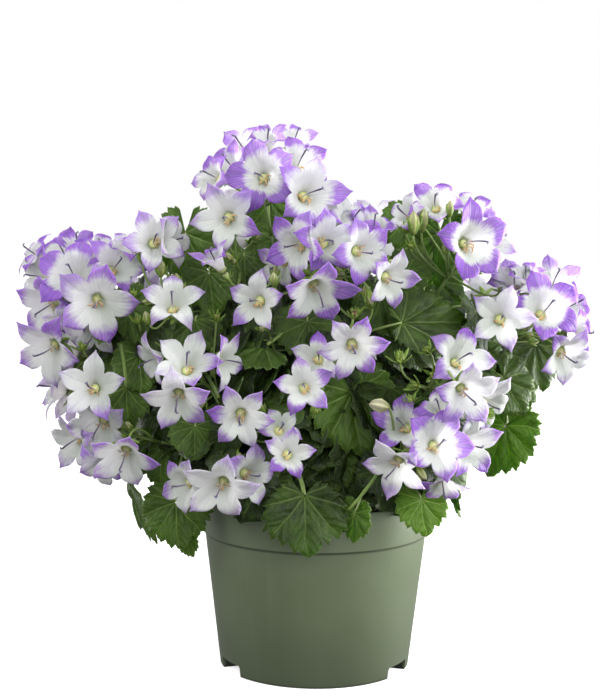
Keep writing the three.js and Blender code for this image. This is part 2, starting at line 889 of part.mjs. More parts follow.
// A bloom takes the first depth at which it is clear of all else. Failing that, its petals may run
// into those of a neighbour in the same spray, as they do where real blooms crowd.
function growSpray(node, blooms, buds) {
  const feet = blooms.map((bloom) => footOf(bloom(0)));
  const spine = spineOf(feet);
  const spineSolid = tube(new THREE.LineCurve3(spine.base, spine.tip), SPINE.radius, SPINE.steps);
  const solids = [spineSolid];
  occupy(node, 'stem', [spineSolid]);
  const reaches = feet.map((foot) => foot.distanceTo(spine.base));
  const far = Math.max(...reaches);
  blooms.forEach((bloom, i) => {
    const share = mix(SPRAY.firstStalk, SPRAY.lastStalk, reaches[i] / far);
    const start = spine.base.clone().lerp(spine.tip, share);
    const fits = (shift, crowded) => {
      const placed = bloom(shift);
      const flower = bloomSolid(placed, start);
      const stub = footOf(placed).addScaledVector(placed.axes.out, -PEDICEL.stub);
      const head = bloomSolid(placed, stub);
      const own = ownPieces(node, crowded ? ['stem', 'whole', 'head'] : ['stem', 'whole']);
      if (!isClear([flower], own)) return false;
      if (!crowded && !isClear([head], ownPieces(node, ['stem']))) return false;
      solids.push(flower);
      occupy(node, 'whole', [flower]);
      occupy(node, 'head', [head]);
      return true;
    };
    const free = depthShifts.some((shift) => fits(shift, false));
    if (!free) depthShifts.some((shift) => fits(shift, true));
  });
  for (const [across, up, turn, lift, length, behind] of buds) {
    const y = domeDepth(across, up) + behind;
    const foot = alongSight(across, up, y);
    const start = spine.base.clone().lerp(spine.tip, SPRAY.budStalk);
    const bud = budSolid(foot, facingAxes(turn, lift), trueLength(length, y), start);
    if (!isClear([bud], ownPieces(node, ['stem', 'whole', 'head']))) continue;
    solids.push(bud);
    occupy(node, 'whole', [bud]);
  }
  return { node, spine, solids };
}

// The stem that carries a spray, from its root in the soil to just short of the spray's spine
function growStem(node, spine, index) {
  const heading = Math.atan2(spine.base.x, -spine.base.y);
  const high = (spine.base.z - CROWN.z) / DOME.height;
  const share = Math.min(high / STEM.innerHeight, 1);
  const ring = mix(STEM.outerRing, STEM.innerRing, share) - (index % 3) * STEM.ringStep;
  const surface = mix(SOIL.crownHeight, SOIL.edgeHeight, (ring / POT.bandFootRadius) ** 2);
  for (const turn of STEM.turns) {
    const a = heading + radians(turn);
    const root = new THREE.Vector3(Math.sin(a) * ring, -Math.cos(a) * ring, surface - STEM.rootDepth);
    const end = spine.base.clone().addScaledVector(spine.away, -STEM.endGap);
    const reach = root.distanceTo(end);
    const rise = root.clone();
    rise.z += reach * STEM.rise;
    const bend = end.clone().addScaledVector(spine.away, -reach * STEM.bend);
    bend.z = Math.max(bend.z, POT.height + STEM.overRim);
    const curve = new THREE.CubicBezierCurve3(root, rise, bend, end);
    const solid = tube(curve, STEM.radius, STEM.steps);
    if (!isClear([solid], nothing)) continue;
    occupy(node, 'stem', [solid]);
    const out = curve.getPointAt(Math.min((STEM.rootDepth + STEM.overSoil) / curve.getLength(), 1));
    const low = root.clone();
    low.z -= GAP;
    const hole = tube(new THREE.LineCurve3(low, out), STEM.holeRadius, 1, STEM.holeSides);
    return { node, curve, solids: [solid], hole };
  }
  throw new Error(`${node} crosses another stem wherever it roots`);
}

// Leaves that show from the front, each on the nearest stem that it can reach

function growShownLeaf(row, stems) {
  const [across, up, depth, tipAngle, seenLength, turn, lift, width] = row;
  const axes = facingAxes(turn, lift);
  const teeth = seenLength > LEAF.largeLength ? LEAF.largeTeeth : LEAF.teeth;
  for (const shift of depthShifts) {
    const joint = alongSight(across, up, depth + shift);
    const length = trueLength(seenLength, depth + shift);
    const shape = { joint, axes, tipAngle, length, width, teeth };
    const nearest = stems
      .flatMap((stem) => STEM.leafPlaces.map((t) => ({ stem, start: stem.curve.getPointAt(t) })))
      .sort((p, q) => p.start.distanceTo(joint) - q.start.distanceTo(joint))
      .slice(0, LEAF.nearestStarts);
    for (const { stem, start } of nearest) {
      for (const raise of LEAF.raises) {
        const leaf = leafSolid(shape, start, raise);
        if (!isClear([leaf], ownPieces(stem.node, ['stem']))) continue;
        stem.solids.push(leaf);
        occupy(stem.node, 'leaf', [leaf]);
        return;
      }
    }
  }
}

// Leaves inside the plant: each tries a few places, turns and sizes, and stays away where none fits
function growFillLeaf(stem, share, order, draw) {
  const stalkLength = mix(...FILL.stalk, draw.next());
  const fullLength = mix(...FILL.length, draw.next());
  const lean = draw.next();
  const swing = draw.next();
  for (let trial = 0; trial < FILL.trials; trial += 1) {
    const start = stem.curve.getPointAt(share + (trial % 3) * FILL.slide);
    const outward = start.clone().sub(CROWN).setZ(0).normalize();
    const heading = degrees(Math.atan2(outward.x, -outward.y));
    const turn = heading + order * FILL.goldenAngle + trial * FILL.swing * (trial % 2 === 0 ? 1 : -1);
    const shrink = trial < FILL.trials / 2 ? 1 : FILL.shrink;
    const axes = facingAxes(heading + mix(...FILL.turn, swing), mix(...FILL.lift, lean));
    const side = facingAxes(turn, FILL.stalkLift).out;
    const joint = start
      .clone()
      .addScaledVector(side, stalkLength * shrink)
      .addScaledVector(outward, FILL.outward);
    const across = side.dot(axes.right);
    const tipAngle = degrees(Math.atan2(side.dot(axes.up) - FILL.droop, across));
    const length = fullLength * shrink;
    const shape = { joint, axes, tipAngle, length, width: FILL.width, teeth: FILL.teeth };
    const leaf = leafSolid(shape, start, 0);
    if (!isClear([leaf], ownPieces(stem.node, ['stem']))) continue;
    stem.solids.push(leaf);
    occupy(stem.node, 'leaf', [leaf]);
    return;
  }
}

// Assembly

const plant = new THREE.Group();

function addMesh(name, solid, finish) {
  const mesh = new THREE.Mesh(geometryOf(solid), new THREE.MeshStandardMaterial(finish));
  mesh.name = name;
  plant.add(mesh);
}

const twoDigits = (number) => String(number).padStart(2, '0');
const draw = new Draw(20260);
const pot = makePot();
occupy('pot', 'pot', [pot]);

const sprays = [];
for (const { blooms, buds } of FRONT_SPRAYS) {
  sprays.push(growSpray(`spray_${twoDigits(sprays.length + 1)}`, blooms.map(frontBloom), buds));
}
for (const row of BACK_SPRAYS) {
  sprays.push(growSpray(`spray_${twoDigits(sprays.length + 1)}`, backBlooms(row, draw), []));
}
const stems = sprays.map(({ spine }, i) => growStem(`leafy_stem_${twoDigits(i + 1)}`, spine, i));
const soil = makeSoil(stems.map((stem) => stem.hole));
occupy('soil', 'soil', [soil]);

for (const row of SHOWN_LEAVES) growShownLeaf(row, stems);
for (let order = 0; order < FILL.perBackStem; order += 1) {
  stems.forEach((stem, i) => {
    const count = i < FRONT_SPRAYS.length ? FILL.perStem : FILL.perBackStem;
    const share = mix(FILL.from, FILL.to, order / (count - 1));
    if (order < count) growFillLeaf(stem, share, order + i, draw);
  });
}

addMesh('pot', pot, FINISH.pot);
addMesh('soil', soil, FINISH.soil);
for (const { node, solids } of stems) addMesh(node, wasm.Manifold.union(solids), FINISH.leaf);
for (const { node, solids } of sprays) addMesh(node, wasm.Manifold.union(solids), FINISH.petal);

export default plant;
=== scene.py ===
"""A potted Serbian bellflower in full bloom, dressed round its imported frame.

Sizes are millimetres in the plans below and metres in the meshes. +Z is up and the front faces -Y.
"""

import json
import logging
import math
from collections.abc import Callable, Iterable, Sequence
from dataclasses import dataclass, field, replace
from enum import Enum

import bpy
import numpy as np
from mathutils import Matrix, Vector

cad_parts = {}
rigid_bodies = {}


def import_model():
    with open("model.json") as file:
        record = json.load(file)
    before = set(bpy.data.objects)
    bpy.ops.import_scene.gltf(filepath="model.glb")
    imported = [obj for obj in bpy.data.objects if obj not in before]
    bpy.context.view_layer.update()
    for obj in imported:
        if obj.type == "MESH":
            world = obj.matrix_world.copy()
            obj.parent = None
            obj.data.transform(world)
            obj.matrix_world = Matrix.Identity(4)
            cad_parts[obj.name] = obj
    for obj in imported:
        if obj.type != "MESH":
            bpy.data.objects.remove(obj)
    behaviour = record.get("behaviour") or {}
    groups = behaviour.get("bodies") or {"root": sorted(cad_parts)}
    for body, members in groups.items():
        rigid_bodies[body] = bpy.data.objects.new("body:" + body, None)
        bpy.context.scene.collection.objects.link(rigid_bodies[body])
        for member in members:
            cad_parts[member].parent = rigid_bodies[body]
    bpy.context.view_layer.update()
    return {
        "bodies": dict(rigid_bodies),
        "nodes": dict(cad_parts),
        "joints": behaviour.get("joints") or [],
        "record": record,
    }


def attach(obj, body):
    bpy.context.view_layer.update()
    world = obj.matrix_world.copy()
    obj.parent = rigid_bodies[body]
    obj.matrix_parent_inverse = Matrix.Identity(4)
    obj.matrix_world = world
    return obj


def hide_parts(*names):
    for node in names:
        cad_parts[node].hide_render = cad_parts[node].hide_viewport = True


LOG = logging.getLogger("bellflower")

MM = 0.001
Array = np.ndarray


# How the front of the plant is laid out: one row for each bloom, bud and leaf that shows


class BudKind(Enum):
    """What a closed or faded flower looks like."""

    RIBBED = "ribbed"
    CREAM = "cream"
    SPIKY = "spiky"
    FADED = "faded"


@dataclass(frozen=True)
class BloomRow:
    """One bloom of a front spray, as seen from the eye on the plane y = 0."""

    across: float
    up: float
    turn: float
    lift: float
    roll: float
    radius: float
    behind: float
    petals: int
    tint: float


@dataclass(frozen=True)
class LookRow:
    """How a bloom shows, as seen from the eye on the plane y = 0."""

    across: float
    up: float
    turn: float
    lift: float
    roll: float
    radius: float
    depth: float
    tint: float
    behind: float = 0.0
    breadth: float = -1.0


@dataclass(frozen=True)
class BudRow:
    """One bud of a front spray, as seen from the eye on the plane y = 0."""

    across: float
    up: float
    turn: float
    lift: float
    length: float
    behind: float
    kind: BudKind = BudKind.RIBBED


@dataclass(frozen=True)
class LeafRow:
    """One leaf that shows from the front, as seen from the eye on the plane y = 0."""

    across: float
    up: float
    depth: float
    tip_angle: float
    length: float
    turn: float
    lift: float
    width: float
    # How light the leaf is drawn, from deep to fresh green: partly its own tone and partly painted
    # light and shade.
    tint: float = 0.5
    back: float = 1.0
    drawn: float = 1.0


@dataclass(frozen=True)
class SprayRows:
    """The blooms and buds of one front spray."""

    blooms: tuple[tuple[float, ...], ...]
    buds: tuple[tuple, ...] = ()


FRONT_SPRAYS = (
    # Top
    SprayRows((
        (-29, 250.4, -14, 10, 34, 19, -4, 5, 0.8),
        (-9.9, 242, 30, 25, 0, 18, 2, 5, 0.25),
        (-27, 264.5, 0, 62, -34, 15, 8, 5, 0.6),
        (-11.8, 257, 30, 55, 14, 16, 12, 5, 0.8),
        (-51.5, 250.8, -60, 5, -15, 15, 14, 5, 0.7),
        (-45, 256, -40, 45, 40, 15, 26, 5, 0.6),
        (-38, 265, -120, 50, 10, 14, 34, 5, 0.5),
    )),
    # Under the top
    SprayRows((
        (-45.8, 231, -8, 0, -26, 19, 0, 5, 0.5),
        (-47, 208, -20, 60, 0, 10, 14, 5, 0.3),
    )),
    # Left shoulder, outer
    SprayRows((
        (-125.2, 196.8, -20, 58, -19, 17, 6, 5, 0.75),
        (-139, 198, -70, 10, 0, 18, 12, 5, 0.6),
        (-134, 207, -60, 50, 20, 14, 26, 5, 0.7),
        (-126, 209, -20, 60, 50, 13, 22, 5, 0.8),
        (-113, 209, 10, 72, 10, 13, 24, 5, 0.7),
    )),
    # Left shoulder, inner
    SprayRows((
        (-114, 188.5, 0, -18, 4, 21, -8, 5, 0.5),
        (-106.5, 204, 50, 35, -6, 16, 10, 5, 0.6),
        (-99, 208, 10, 60, 50, 13, 20, 5, 0.6),
        (-118, 174, -10, -50, 20, 16, 14, 5, 0.5),
    )),
    # Left edge
    SprayRows((
        (-136.5, 187, -45, -40, -5, 18, 8, 5, 0.5),
        (-136.7, 164, -45, -38, -7, 19, 4, 5, 0.4),
    )),
    # Low left
    SprayRows((
        (-117, 141, -8, 12, 11, 17.5, 0, 5, 0.4),
        (-112.2, 124.5, -35, -30, -34, 18, 4, 5, 0.35),
        (-124.6, 115.2, -60, -35, 8, 15, 8, 5, 0.4),
        (-100.3, 110.5, -30, -45, 21, 18.5, -2, 5, 0.35),
        (-109, 104, -40, -45, 50, 14, 14, 5, 0.4),
    )),
    # High left of centre
    SprayRows(
        (
            (-75.1, 182.7, 3, 42, 17, 18.5, 0, 5, 0.3),
            (-84, 218.7, 35, 0, 26, 16, 4, 5, 0.4),
        ),
        (
            (-90.2, 207, -10, 75, 9.5, 6),
            (-80.7, 200.5, 10, 70, 9.5, 10),
            (-86.6, 176, -30, 60, 8, 12),
        ),
    ),
    # Left of centre
    SprayRows((
        (-68.3, 151.5, 3, 42, -7, 19, 2, 5, 0.35),
        (-71.3, 141.3, -3, -34, 25, 19, -6, 5, 0.3),
        (-80.7, 159.6, -60, -20, 10, 15, 18, 5, 0.4),
        (-48.5, 158.5, 55, 8, -10, 17, 12, 5, 0.5),
    )),
    # Centre, left
    SprayRows(((-30.3, 188.5, 3, 0, 13, 18, 4, 5, 0.5),), ((-22.5, 200, 20, 70, 8, 16),)),
    # High centre
    SprayRows((
        (-3, 198.4, 25, -42, 17, 20, -4, 5, 0.75),
        (-16.5, 209, -50, -20, 0, 14, 12, 5, 0.6),
        (-8.8, 218.8, -50, -15, -10, 18, 0, 5, 0.5),
        (2.3, 218.7, 40, 5, 10, 17, -2, 5, 0.7),
        (0, 230, 0, 62, 30, 14, 16, 5, 0.6),
        (13, 228, 70, 40, 30, 13, 18, 5, 0.5),
    )),
    # Centre
    SprayRows(
        (
            (18, 167, 4, -12, 8, 18.5, -6, 6, 0.55),
            (-6.5, 143.5, 0, 15, 29, 16, 0, 5, 0.55),
            (0.9, 158, 0, 20, 20, 14, 14, 5, 0.5),
        ),
        ((18.5, 180, 10, 60, 7, 6, BudKind.FADED),),
    ),
    # Low centre
    SprayRows((
        (-39.3, 130.5, 0, -12, -8, 18.5, -2, 6, 0.5),
        (-15, 108.5, 8, 14, 7, 14, 0, 5, 0.6),
        (-20, 120.5, 20, 30, 40, 12, 15, 5, 0.4),
    )),
    # Over the rim, left
    SprayRows((
        (-48.2, 94.5, -13, -28, 1, 20, -6, 5, 0.2),
        (-38, 98.8, 40, 0, 2, 17, 8, 5, 0.35),
        (-64.1, 93.5, -60, -5, 20, 16, 8, 5, 0.4),
    )),
    # Right of centre
    SprayRows(
        (
            (19, 214.5, 30, -15, -11, 18, 0, 5, 0.55),
            (31, 221, 50, 38, 40, 13.5, 18, 5, 0.5),
            (33, 203, 35, -28, -15, 17, -4, 5, 0.4),
        ),
        ((25.5, 190.5, -20, 70, 8, 10),),
    ),
    # High right
    SprayRows(
        (
            (58.5, 238, -10, 35, -7, 18.5, 6, 5, 0.65),
            (73.5, 220, 32, 7, 24, 21, -2, 5, 0.7),
            (88, 215, 80, 0, 30, 16, 12, 5, 0.6),
            (94, 199, 60, 45, 60, 14, 18, 5, 0.5),
        ),
        (
            (48.8, 223, -5, 82, 12.5, 4),
            (53, 224.5, 20, 78, 12.5, 8),
            (67.2, 232.5, 0, 80, 8.5, -4),
        ),
    ),
    # Right shoulder
    SprayRows((
        (94, 180, -2, 10, 0, 18, 0, 5, 0.4),
        (114, 183.5, 12, 30, -29, 19.5, -4, 5, 0.65),
        (129, 190, 75, 0, 30, 16, 14, 5, 0.8),
        (117, 197, 10, 62, 20, 15, 16, 5, 0.8),
        (125, 166, 25, -25, -5, 17, 0, 5, 0.4),
    )),
    # Middle right
    SprayRows(
        (
            (71.7, 157.5, 42, 22, 2, 17, 4, 5, 0.3),
            (74, 144.5, 45, -33, -8, 18, -4, 5, 0.35),
        ),
        (
            (43, 157, -10, 70, 9, 12, BudKind.SPIKY),
            (53, 145, -60, 10, 8, 14, BudKind.SPIKY),
        ),
    ),
    # Low right
    SprayRows(
        (
            (61, 113.8, 15, 18, -12, 19.5, -8, 5, 0.5),
            (47.2, 122.5, -28, 45, -27, 18, 4, 5, 0.85),
            (42.5, 106.8, -33, -33, 35, 18, -4, 5, 0.35),
            (80, 112, 60, -20, 55, 17, 12, 5, 0.5),
            (66, 98, 5, -66, 20, 14, 6, 5, 0.55),
        ),
        (
            (37.5, 134, -75, 10, 11, 2, BudKind.CREAM),
            (53, 102, 30, -30, 9, 12),
        ),
    ),
)

# How a front bloom shows where it opens wider or leans another way than its solid:
# the spray and its place there; then across, up, turn, lift, roll, radius, depth and tint
BLOOM_LOOKS = {
    (1, 0): (-27.8, 251.3, -12, 8, 34, 20.5, 1, 0.95, 0, 1.5),
    (1, 1): (-8.2, 242.1, 30, 12, 0, 21.5, 1.15, 0.6, 0, 0.6),
    (1, 2): (-25.7, 264.7, 0, 58, -34, 11.5, 2.3, 0.95),
    (1, 3): (-11.8, 254.9, 22, 38, 25, 18.5, 1.35, 0.85),
    (1, 4): (-50.4, 250.3, -50, 22, -15, 14, 1.2, 0.7),
    (1, 5): (-41.7, 254.9, -45, 38, 30, 14, 1.4, 0.75),
    (1, 6): (-35.5, 262.1, -38, 42, 10, 16, 1.5, 0.9),
    (2, 0): (-45.8, 231.3, -8, 0, -26, 20, 1, 0.5, 0, 0.0),
    (2, 1): (-48.8, 204, -48, 50, 0, 11, 1, 0.7),
    (3, 0): (-124, 197.3, -6, 31, 10, 22, 1.2, 0.95, 0, 1.5),
    (3, 1): (-137.3, 199.4, -52, 8, 5, 18.5, 1.1, 0.7),
    (3, 2): (-129.1, 207.1, -22, 52, 22, 16, 1.5, 0.95),
    (3, 3): (-124, 210.7, 8, 58, 50, 13.5, 1.7, 0.95),
    (3, 4): (-111.6, 208.1, 4, 52, 10, 15, 1.6, 0.5),
    (4, 0): (-113.7, 189.1, 2, -14, 0, 22.5, 1, 0.55, 0, 1.1),
    (4, 1): (-106.5, 203.5, 30, 24, -10, 18, 1.3, 0.5),
    (4, 2): (-97.2, 210.2, 14, 56, 50, 13, 1.7, 0.75),
    (4, 3): (-115.7, 175.7, -5, -45, 20, 16.5, 1.1, 0.35),
    (5, 0): (-134.8, 187.5, -30, -20, 5, 20, 1.2, 0.65),
    (5, 1): (-135.3, 165.4, -26, -18, -12, 21, 1.15, 0.45, 0, 0.3),
    (6, 0): (-114.7, 142.3, -8, 12, 14, 20, 1, 0.25, 0, 0.0),
    (6, 1): (-110.6, 125.8, -14, -24, 37, 20, 1.15, 0.3),
    (6, 2): (-121.9, 117.1, -38, -18, 21, 16.5, 1.25, 0.35),
    (6, 3): (-98.8, 111.4, -6, -34, -1, 20, 1.2, 0.45),
    (6, 4): (-109.1, 105.8, -30, -38, 50, 15, 1.3, 0.45),
    (7, 0): (-74.6, 182.9, 3, 38, 17, 17.6, 1.6, 0.4, 0, 0.3),
    (7, 1): (-84.9, 217.4, 12, 16, 44, 17.5, 1.2, 0.45),
    (8, 0): (-67.4, 151.5, 6, 40, -7, 19, 1.35, 0.35),
    (8, 3): (-52, 158.2, 66, -4, -20, 17.5, 1, 0.45),
    (9, 0): (-29.3, 188.6, -20, 3, 13, 17.5, 1.1, 0.5, 0, 0.1),
    (10, 0): (-2.1, 198.4, 22, -38, 17, 21.5, 1.1, 0.75, 0, 0.7),
    (10, 1): (-16.5, 209.2, -40, -18, 0, 14.5, 1.1, 0.5),
    (10, 2): (-7.7, 218.4, -32, -6, -10, 19.5, 1.05, 0.6),
    (10, 3): (2.6, 218.4, 18, 8, 22, 18.5, 1.1, 0.75),
    (10, 4): (3.6, 223.6, 0, 40, 90, 20, 1.25, 0.6),
    (10, 5): (13.4, 226.6, 42, 38, 30, 16.5, 1.3, 0.7),
    (13, 0): (-48, 94.8, -12, -24, 1, 21, 1.05, 0.3, 0, 0.5),
    (13, 2): (-65.3, 93.6, -40, -4, 62, 16, 1.1, 0.4),
    (14, 0): (19, 214.8, 34, -4, 40, 18.5, 1.15, 0.65, 0, 1.0),
    (14, 1): (27.3, 221.5, 14, 58, 18, 13, 1.9, 0.9),
    (14, 2): (34, 202, 38, -14, 2, 17.5, 1.1, 0.4, 0, 0.2),
    (15, 0): (60.2, 235.9, -8, 34, -7, 15.5, 1.35, 0.75, 8),
    (15, 1): (74.1, 218.9, 32, 6, 24, 22.5, 1.15, 0.85, 0, 1.4),
    (15, 2): (84.9, 221, 48, 10, 40, 16, 1.2, 0.7),
    (15, 3): (95.2, 197.8, 20, 45, 60, 13.5, 1.5, 0.7),
    (16, 1): (114.7, 182.4, 12, 26, 36, 20.5, 1.6, 0.9, 0, 1.2),
    (16, 2): (124, 185, 44, 22, 0, 18, 1.3, 0.9),
    (16, 3): (119.9, 194.2, 12, 50, 20, 16, 1.6, 0.7),
    (16, 4): (125, 164.9, 24, -22, -12, 17.5, 1.3, 0.5),
    (17, 0): (71, 157.2, 24, 24, -8, 19.5, 1.2, 0.45),
    (17, 1): (74.1, 144.9, 24, -22, 23, 20, 1.1, 0.4),
    (18, 0): (60.7, 114, 14, 17, -8, 21, 1.3, 0.85, 0, 1.2),
    (18, 1): (47.3, 122.7, -24, 26, 24, 18, 1.4, 0.85),
    (18, 2): (43.7, 107.3, -30, -30, 35, 19.5, 1.1, 0.35),
    (18, 3): (75.6, 115.5, 32, 0, 20, 19.5, 1.15, 0.65),
    (18, 4): (65.8, 98, 5, -52, 20, 14, 1.3, 0.7),
}

# Blooms half hidden among those of a front spray: across, up, turn, lift, roll, radius, depth,
# tint and how far behind the dome
HALF_HIDDEN = {
    1: ((-13.9, 266.3, 25, 50, 0, 12, 1.8, 0.85, 20),),
    3: ((-141.5, 208.6, -60, 35, 20, 14, 1.3, 0.75, 18),),
    5: ((-126, 177.8, -30, -30, 10, 15, 1.2, 0.5, 14),),
    7: ((-79.2, 218.4, 55, 10, -10, 15, 1.2, 0.25, 10),),
    15: (
        (47.8, 231.8, -46, 24, 20, 12.5, 1.3, 0.4, 10),
        (77, 233, 14, 44, 30, 13.5, 1.5, 0.85, 14),
    ),
    16: (
        (129.1, 173.1, 58, 4, 0, 15, 1.3, 0.75, 8),
        (107.5, 198.4, -16, 56, 10, 11, 1.9, 0.85, 8),
        (101.3, 195.8, -10, 44, 40, 14, 1.4, 0.6, 16),
    ),
    17: ((84.4, 140.2, 38, -22, -10, 18, 1.15, 0.25, 10),),
    18: ((65.3, 129.4, -22, 44, 40, 14, 1.5, 0.75, 12),),
}

# Small green buds and bracts between the blooms of the front: across, up, turn, lift, length,
# how far behind the dome, and kind
GREEN_BUDS = {
    3: ((-121, 162, -20, 60, 7, 14, BudKind.SPIKY), (-112, 167, 30, 50, 6, 12, BudKind.SPIKY)),
    4: ((-92, 176, -30, 65, 7, 12, BudKind.SPIKY), (-95, 190, 20, 70, 6, 14, BudKind.SPIKY)),
    8: ((-52, 178, 10, 60, 7, 20, BudKind.SPIKY), (-36, 119, 10, 60, 7, 16, BudKind.SPIKY)),
    10: (
        (-22, 196, -10, 60, 8.5, -2),
        (26, 195, 30, -60, 9, 0),
        (20, 182, 0, 50, 6, 16, BudKind.SPIKY),
    ),
    11: ((-1, 130, 20, 50, 6, 14, BudKind.SPIKY), (28, 186, -20, 40, 6, 16, BudKind.SPIKY)),
    15: ((45, 224, -20, 60, 7, 10, BudKind.SPIKY), (47, 217, 10, 20, 5, 10, BudKind.SPIKY)),
    17: ((58, 163, -30, 30, 7, 12, BudKind.SPIKY), (60, 151, 0, 10, 8, 12, BudKind.SPIKY)),
    18: ((49, 136, -20, 60, 7, 10, BudKind.SPIKY), (86, 131, 60, 10, 8, 10, BudKind.SPIKY)),
}

# Sprays of the sides, top and back: turn from the front, height, and share of the way to the dome
BACK_SPRAYS = (
    (106, 172, 1),
    (132, 190, 0.95),
    (158, 208, 0.75),
    (215, 222, 0.4),
    (191, 194, 0.95),
    (234, 188, 0.9),
    (264, 146, 1),
    (222, 138, 1),
    (176, 142, 1),
    (136, 128, 1),
)

# Leaves of the front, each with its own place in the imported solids
SHOWN_LEAVES = (
    LeafRow(-5.7, 87.5, -74, -89, 31, 2, 22, 1, 0.26, 0.5),
    LeafRow(-73, 83, -44, -82, 24, -12, 20, 0.95, 0.5),
    LeafRow(55, 85.5, -60, -86, 18.5, 5, 20, 0.9, 1.0),
    LeafRow(20.6, 78, -74, -97, 15.5, -35, 5, 0.8, 0.6),
    LeafRow(43.7, 178, -62, 4, 36, 10, 30, 0.75, 0.26, 0.4),
    LeafRow(96, 150, -22, -62, 22, 20, 20, 0.9, 0.45),
    LeafRow(112, 168, 6, -84, 24, 20, 20, 0.8, 0.35),
    LeafRow(98, 125, -18, -112, 28, -30, 10, 0.85, 0.6),
    LeafRow(-96, 90, -24, -68, 30, -70, -10, 0.6, 0.5),
    LeafRow(-67, 62.5, -44, -70, 11, -20, 10, 0.8, 0.9, 1, 0.8),
    LeafRow(-98.8, 143, -48, -82, 21, -10, 25, 0.9, 0.5),
    LeafRow(-97, 186, -36, -72, 21, -20, 10, 0.7, 0.45),
    LeafRow(-68, 223, -18, -90, 27, -15, 5, 0.75, 0.5),
    LeafRow(-27, 165, -56, 172, 25, 0, 55, 0.9, 0.35),
    LeafRow(18, 141.5, -56, -82, 33, 8, 15, 0.85, 0.6),
    LeafRow(6, 108, -52, -100, 22, 0, 15, 0.9, 0.4),
    LeafRow(-63, 123, -52, -88, 17, -5, 25, 1, 0.4),
    LeafRow(-80, 112, -36, -92, 20, -10, 15, 1, 0.45),
    LeafRow(62, 224, -24, -93, 27, -25, 5, 0.65, 0.4),
    LeafRow(45, 203, -40, 62, 19, 0, 25, 0.8, 0.45),
    LeafRow(72, 92, -42, -86, 15, -75, 0, 0.6, 0.5),
    LeafRow(-25, 240, -22, -88, 18, 0, 10, 0.9, 0.5),
    LeafRow(30, 100, -58, -60, 22, 10, 25, 0.9, 0.1, 1, 0.62),
)

# Leaves of the front that close gaps between the larger ones
GAP_LEAVES = (
    LeafRow(-56, 203, -36, -80, 22, -10, 20, 0.85, 0.5),
    LeafRow(-63, 178, -46, -100, 20, 10, 25, 0.9, 0.45),
    LeafRow(33, 192, -46, -75, 22, 5, 25, 0.9, 0.4),
    LeafRow(46, 232, -14, -95, 20, 0, 30, 0.85, 0.6),
    LeafRow(-92, 160, -40, -80, 20, -10, 25, 0.9, 0.6),
    LeafRow(-104, 166, -24, -100, 19, -20, 25, 0.85, 0.6),
    LeafRow(-118, 160, 8, -80, 18, -25, 20, 0.9, 0.55),
    LeafRow(-112, 132, 0, -95, 18, -25, 10, 0.9, 0.55),
    LeafRow(61, 200, -10, -80, 21, 10, 20, 0.8, 0.35),
    LeafRow(80, 168, -20, -70, 20, 15, 25, 0.9, 0.55),
    LeafRow(100, 150, 0, -100, 22, 20, 15, 0.9, 0.5),
    LeafRow(-38, 212, -22, -85, 20, 0, 25, 0.9, 0.45),
    LeafRow(-20, 222, -20, -80, 19, 5, 25, 0.9, 0.5),
    LeafRow(12, 205, -28, -85, 20, 5, 25, 0.9, 0.5),
    LeafRow(-5, 178, -50, -80, 22, 0, 30, 0.95, 0.45),
)

# Leaf stalks that show: the stem, and both ends with across, up and depth
SHOWN_STALKS = (
    (18, (17.5, 80, -76), (33.5, 101.5, -77)),
    (4, (-98.8, 143.5, -49), (-101.8, 166, -50)),
    (8, (-50.9, 138, -66), (-57, 150, -62)),
    (12, (-6.5, 88.5, -74.5), (-10.4, 100.5, -70)),
    (11, (-25.7, 166, -57), (-11, 178, -46)),
)

# How far a bloom or leaf may stand behind its first place, in the order of trial
DEPTH_SHIFTS = (0, 3, -3, 6, -6, 9, -9, 13, -13, 17)


# Vectors, colours and places


def vec(*values: float) -> Array:
    """A vector of floats."""
    return np.array(values, float)


def unit(v: Array) -> Array:
    """The vector at length one."""
    return v / np.linalg.norm(v)


def turn_of(way: Array) -> float:
    """How far a direction points to the right of the front, in degrees."""
    return math.degrees(math.atan2(way[0], -way[1]))


def level(angle: float) -> Array:
    """The level direction at an angle to the right of the front, in radians."""
    return vec(math.sin(angle), -math.cos(angle), 0)


def mix(low: float | Array, high: float | Array, share: float | Array) -> float | Array:
    """The value at a share of the way from low to high."""
    return low + (high - low) * share


def linear(code: str) -> tuple[float, float, float, float]:
    """A screen colour such as "#66735a" as linear red, green, blue and alpha.

    Args:
        code: the screen colour.

    Returns:
        Its linear red, green, blue and alpha.
    """
    parts = [int(code[i : i + 2], 16) / 255 for i in (1, 3, 5)]
    values = [p / 12.92 if p <= 0.04045 else ((p + 0.055) / 1.055) ** 2.4 for p in parts]
    return (*values, 1.0)


def hue(code: str) -> Array:
    """The linear red, green and blue of a screen colour."""
    return vec(*linear(code)[:3])


def around(columns: int) -> Array:
    """The angles of evenly spaced columns, in radians."""
    return np.linspace(0, 2 * math.pi, columns, endpoint=False)


@dataclass(frozen=True)
class Axes:
    """Out of the face of something, to its right, and up along it."""

    out: Array
    right: Array
    up: Array

    @classmethod
    def facing(cls, turn: float, lift: float) -> "Axes":
        """The axes of what faces the front turned right and lifted by these degrees.

        Args:
            turn: to the right, in degrees.
            lift: up, in degrees.

        Returns:
            The axes.
        """
        t, l = math.radians(turn), math.radians(lift)
        out = vec(math.sin(t) * math.cos(l), -math.cos(t) * math.cos(l), math.sin(l))
        right = vec(math.cos(t), math.sin(t), 0)
        return cls(out, right, np.cross(out, right))

    def quaternion(self, spin: float = 0.0) -> tuple[float, float, float, float]:
        """The turn that takes +Z to out and +X to right, after a spin about +Z in radians."""
        turned = Matrix(np.column_stack([self.right, self.up, self.out]).tolist())
        return tuple((turned @ Matrix.Rotation(spin, 3, "Z")).to_quaternion())


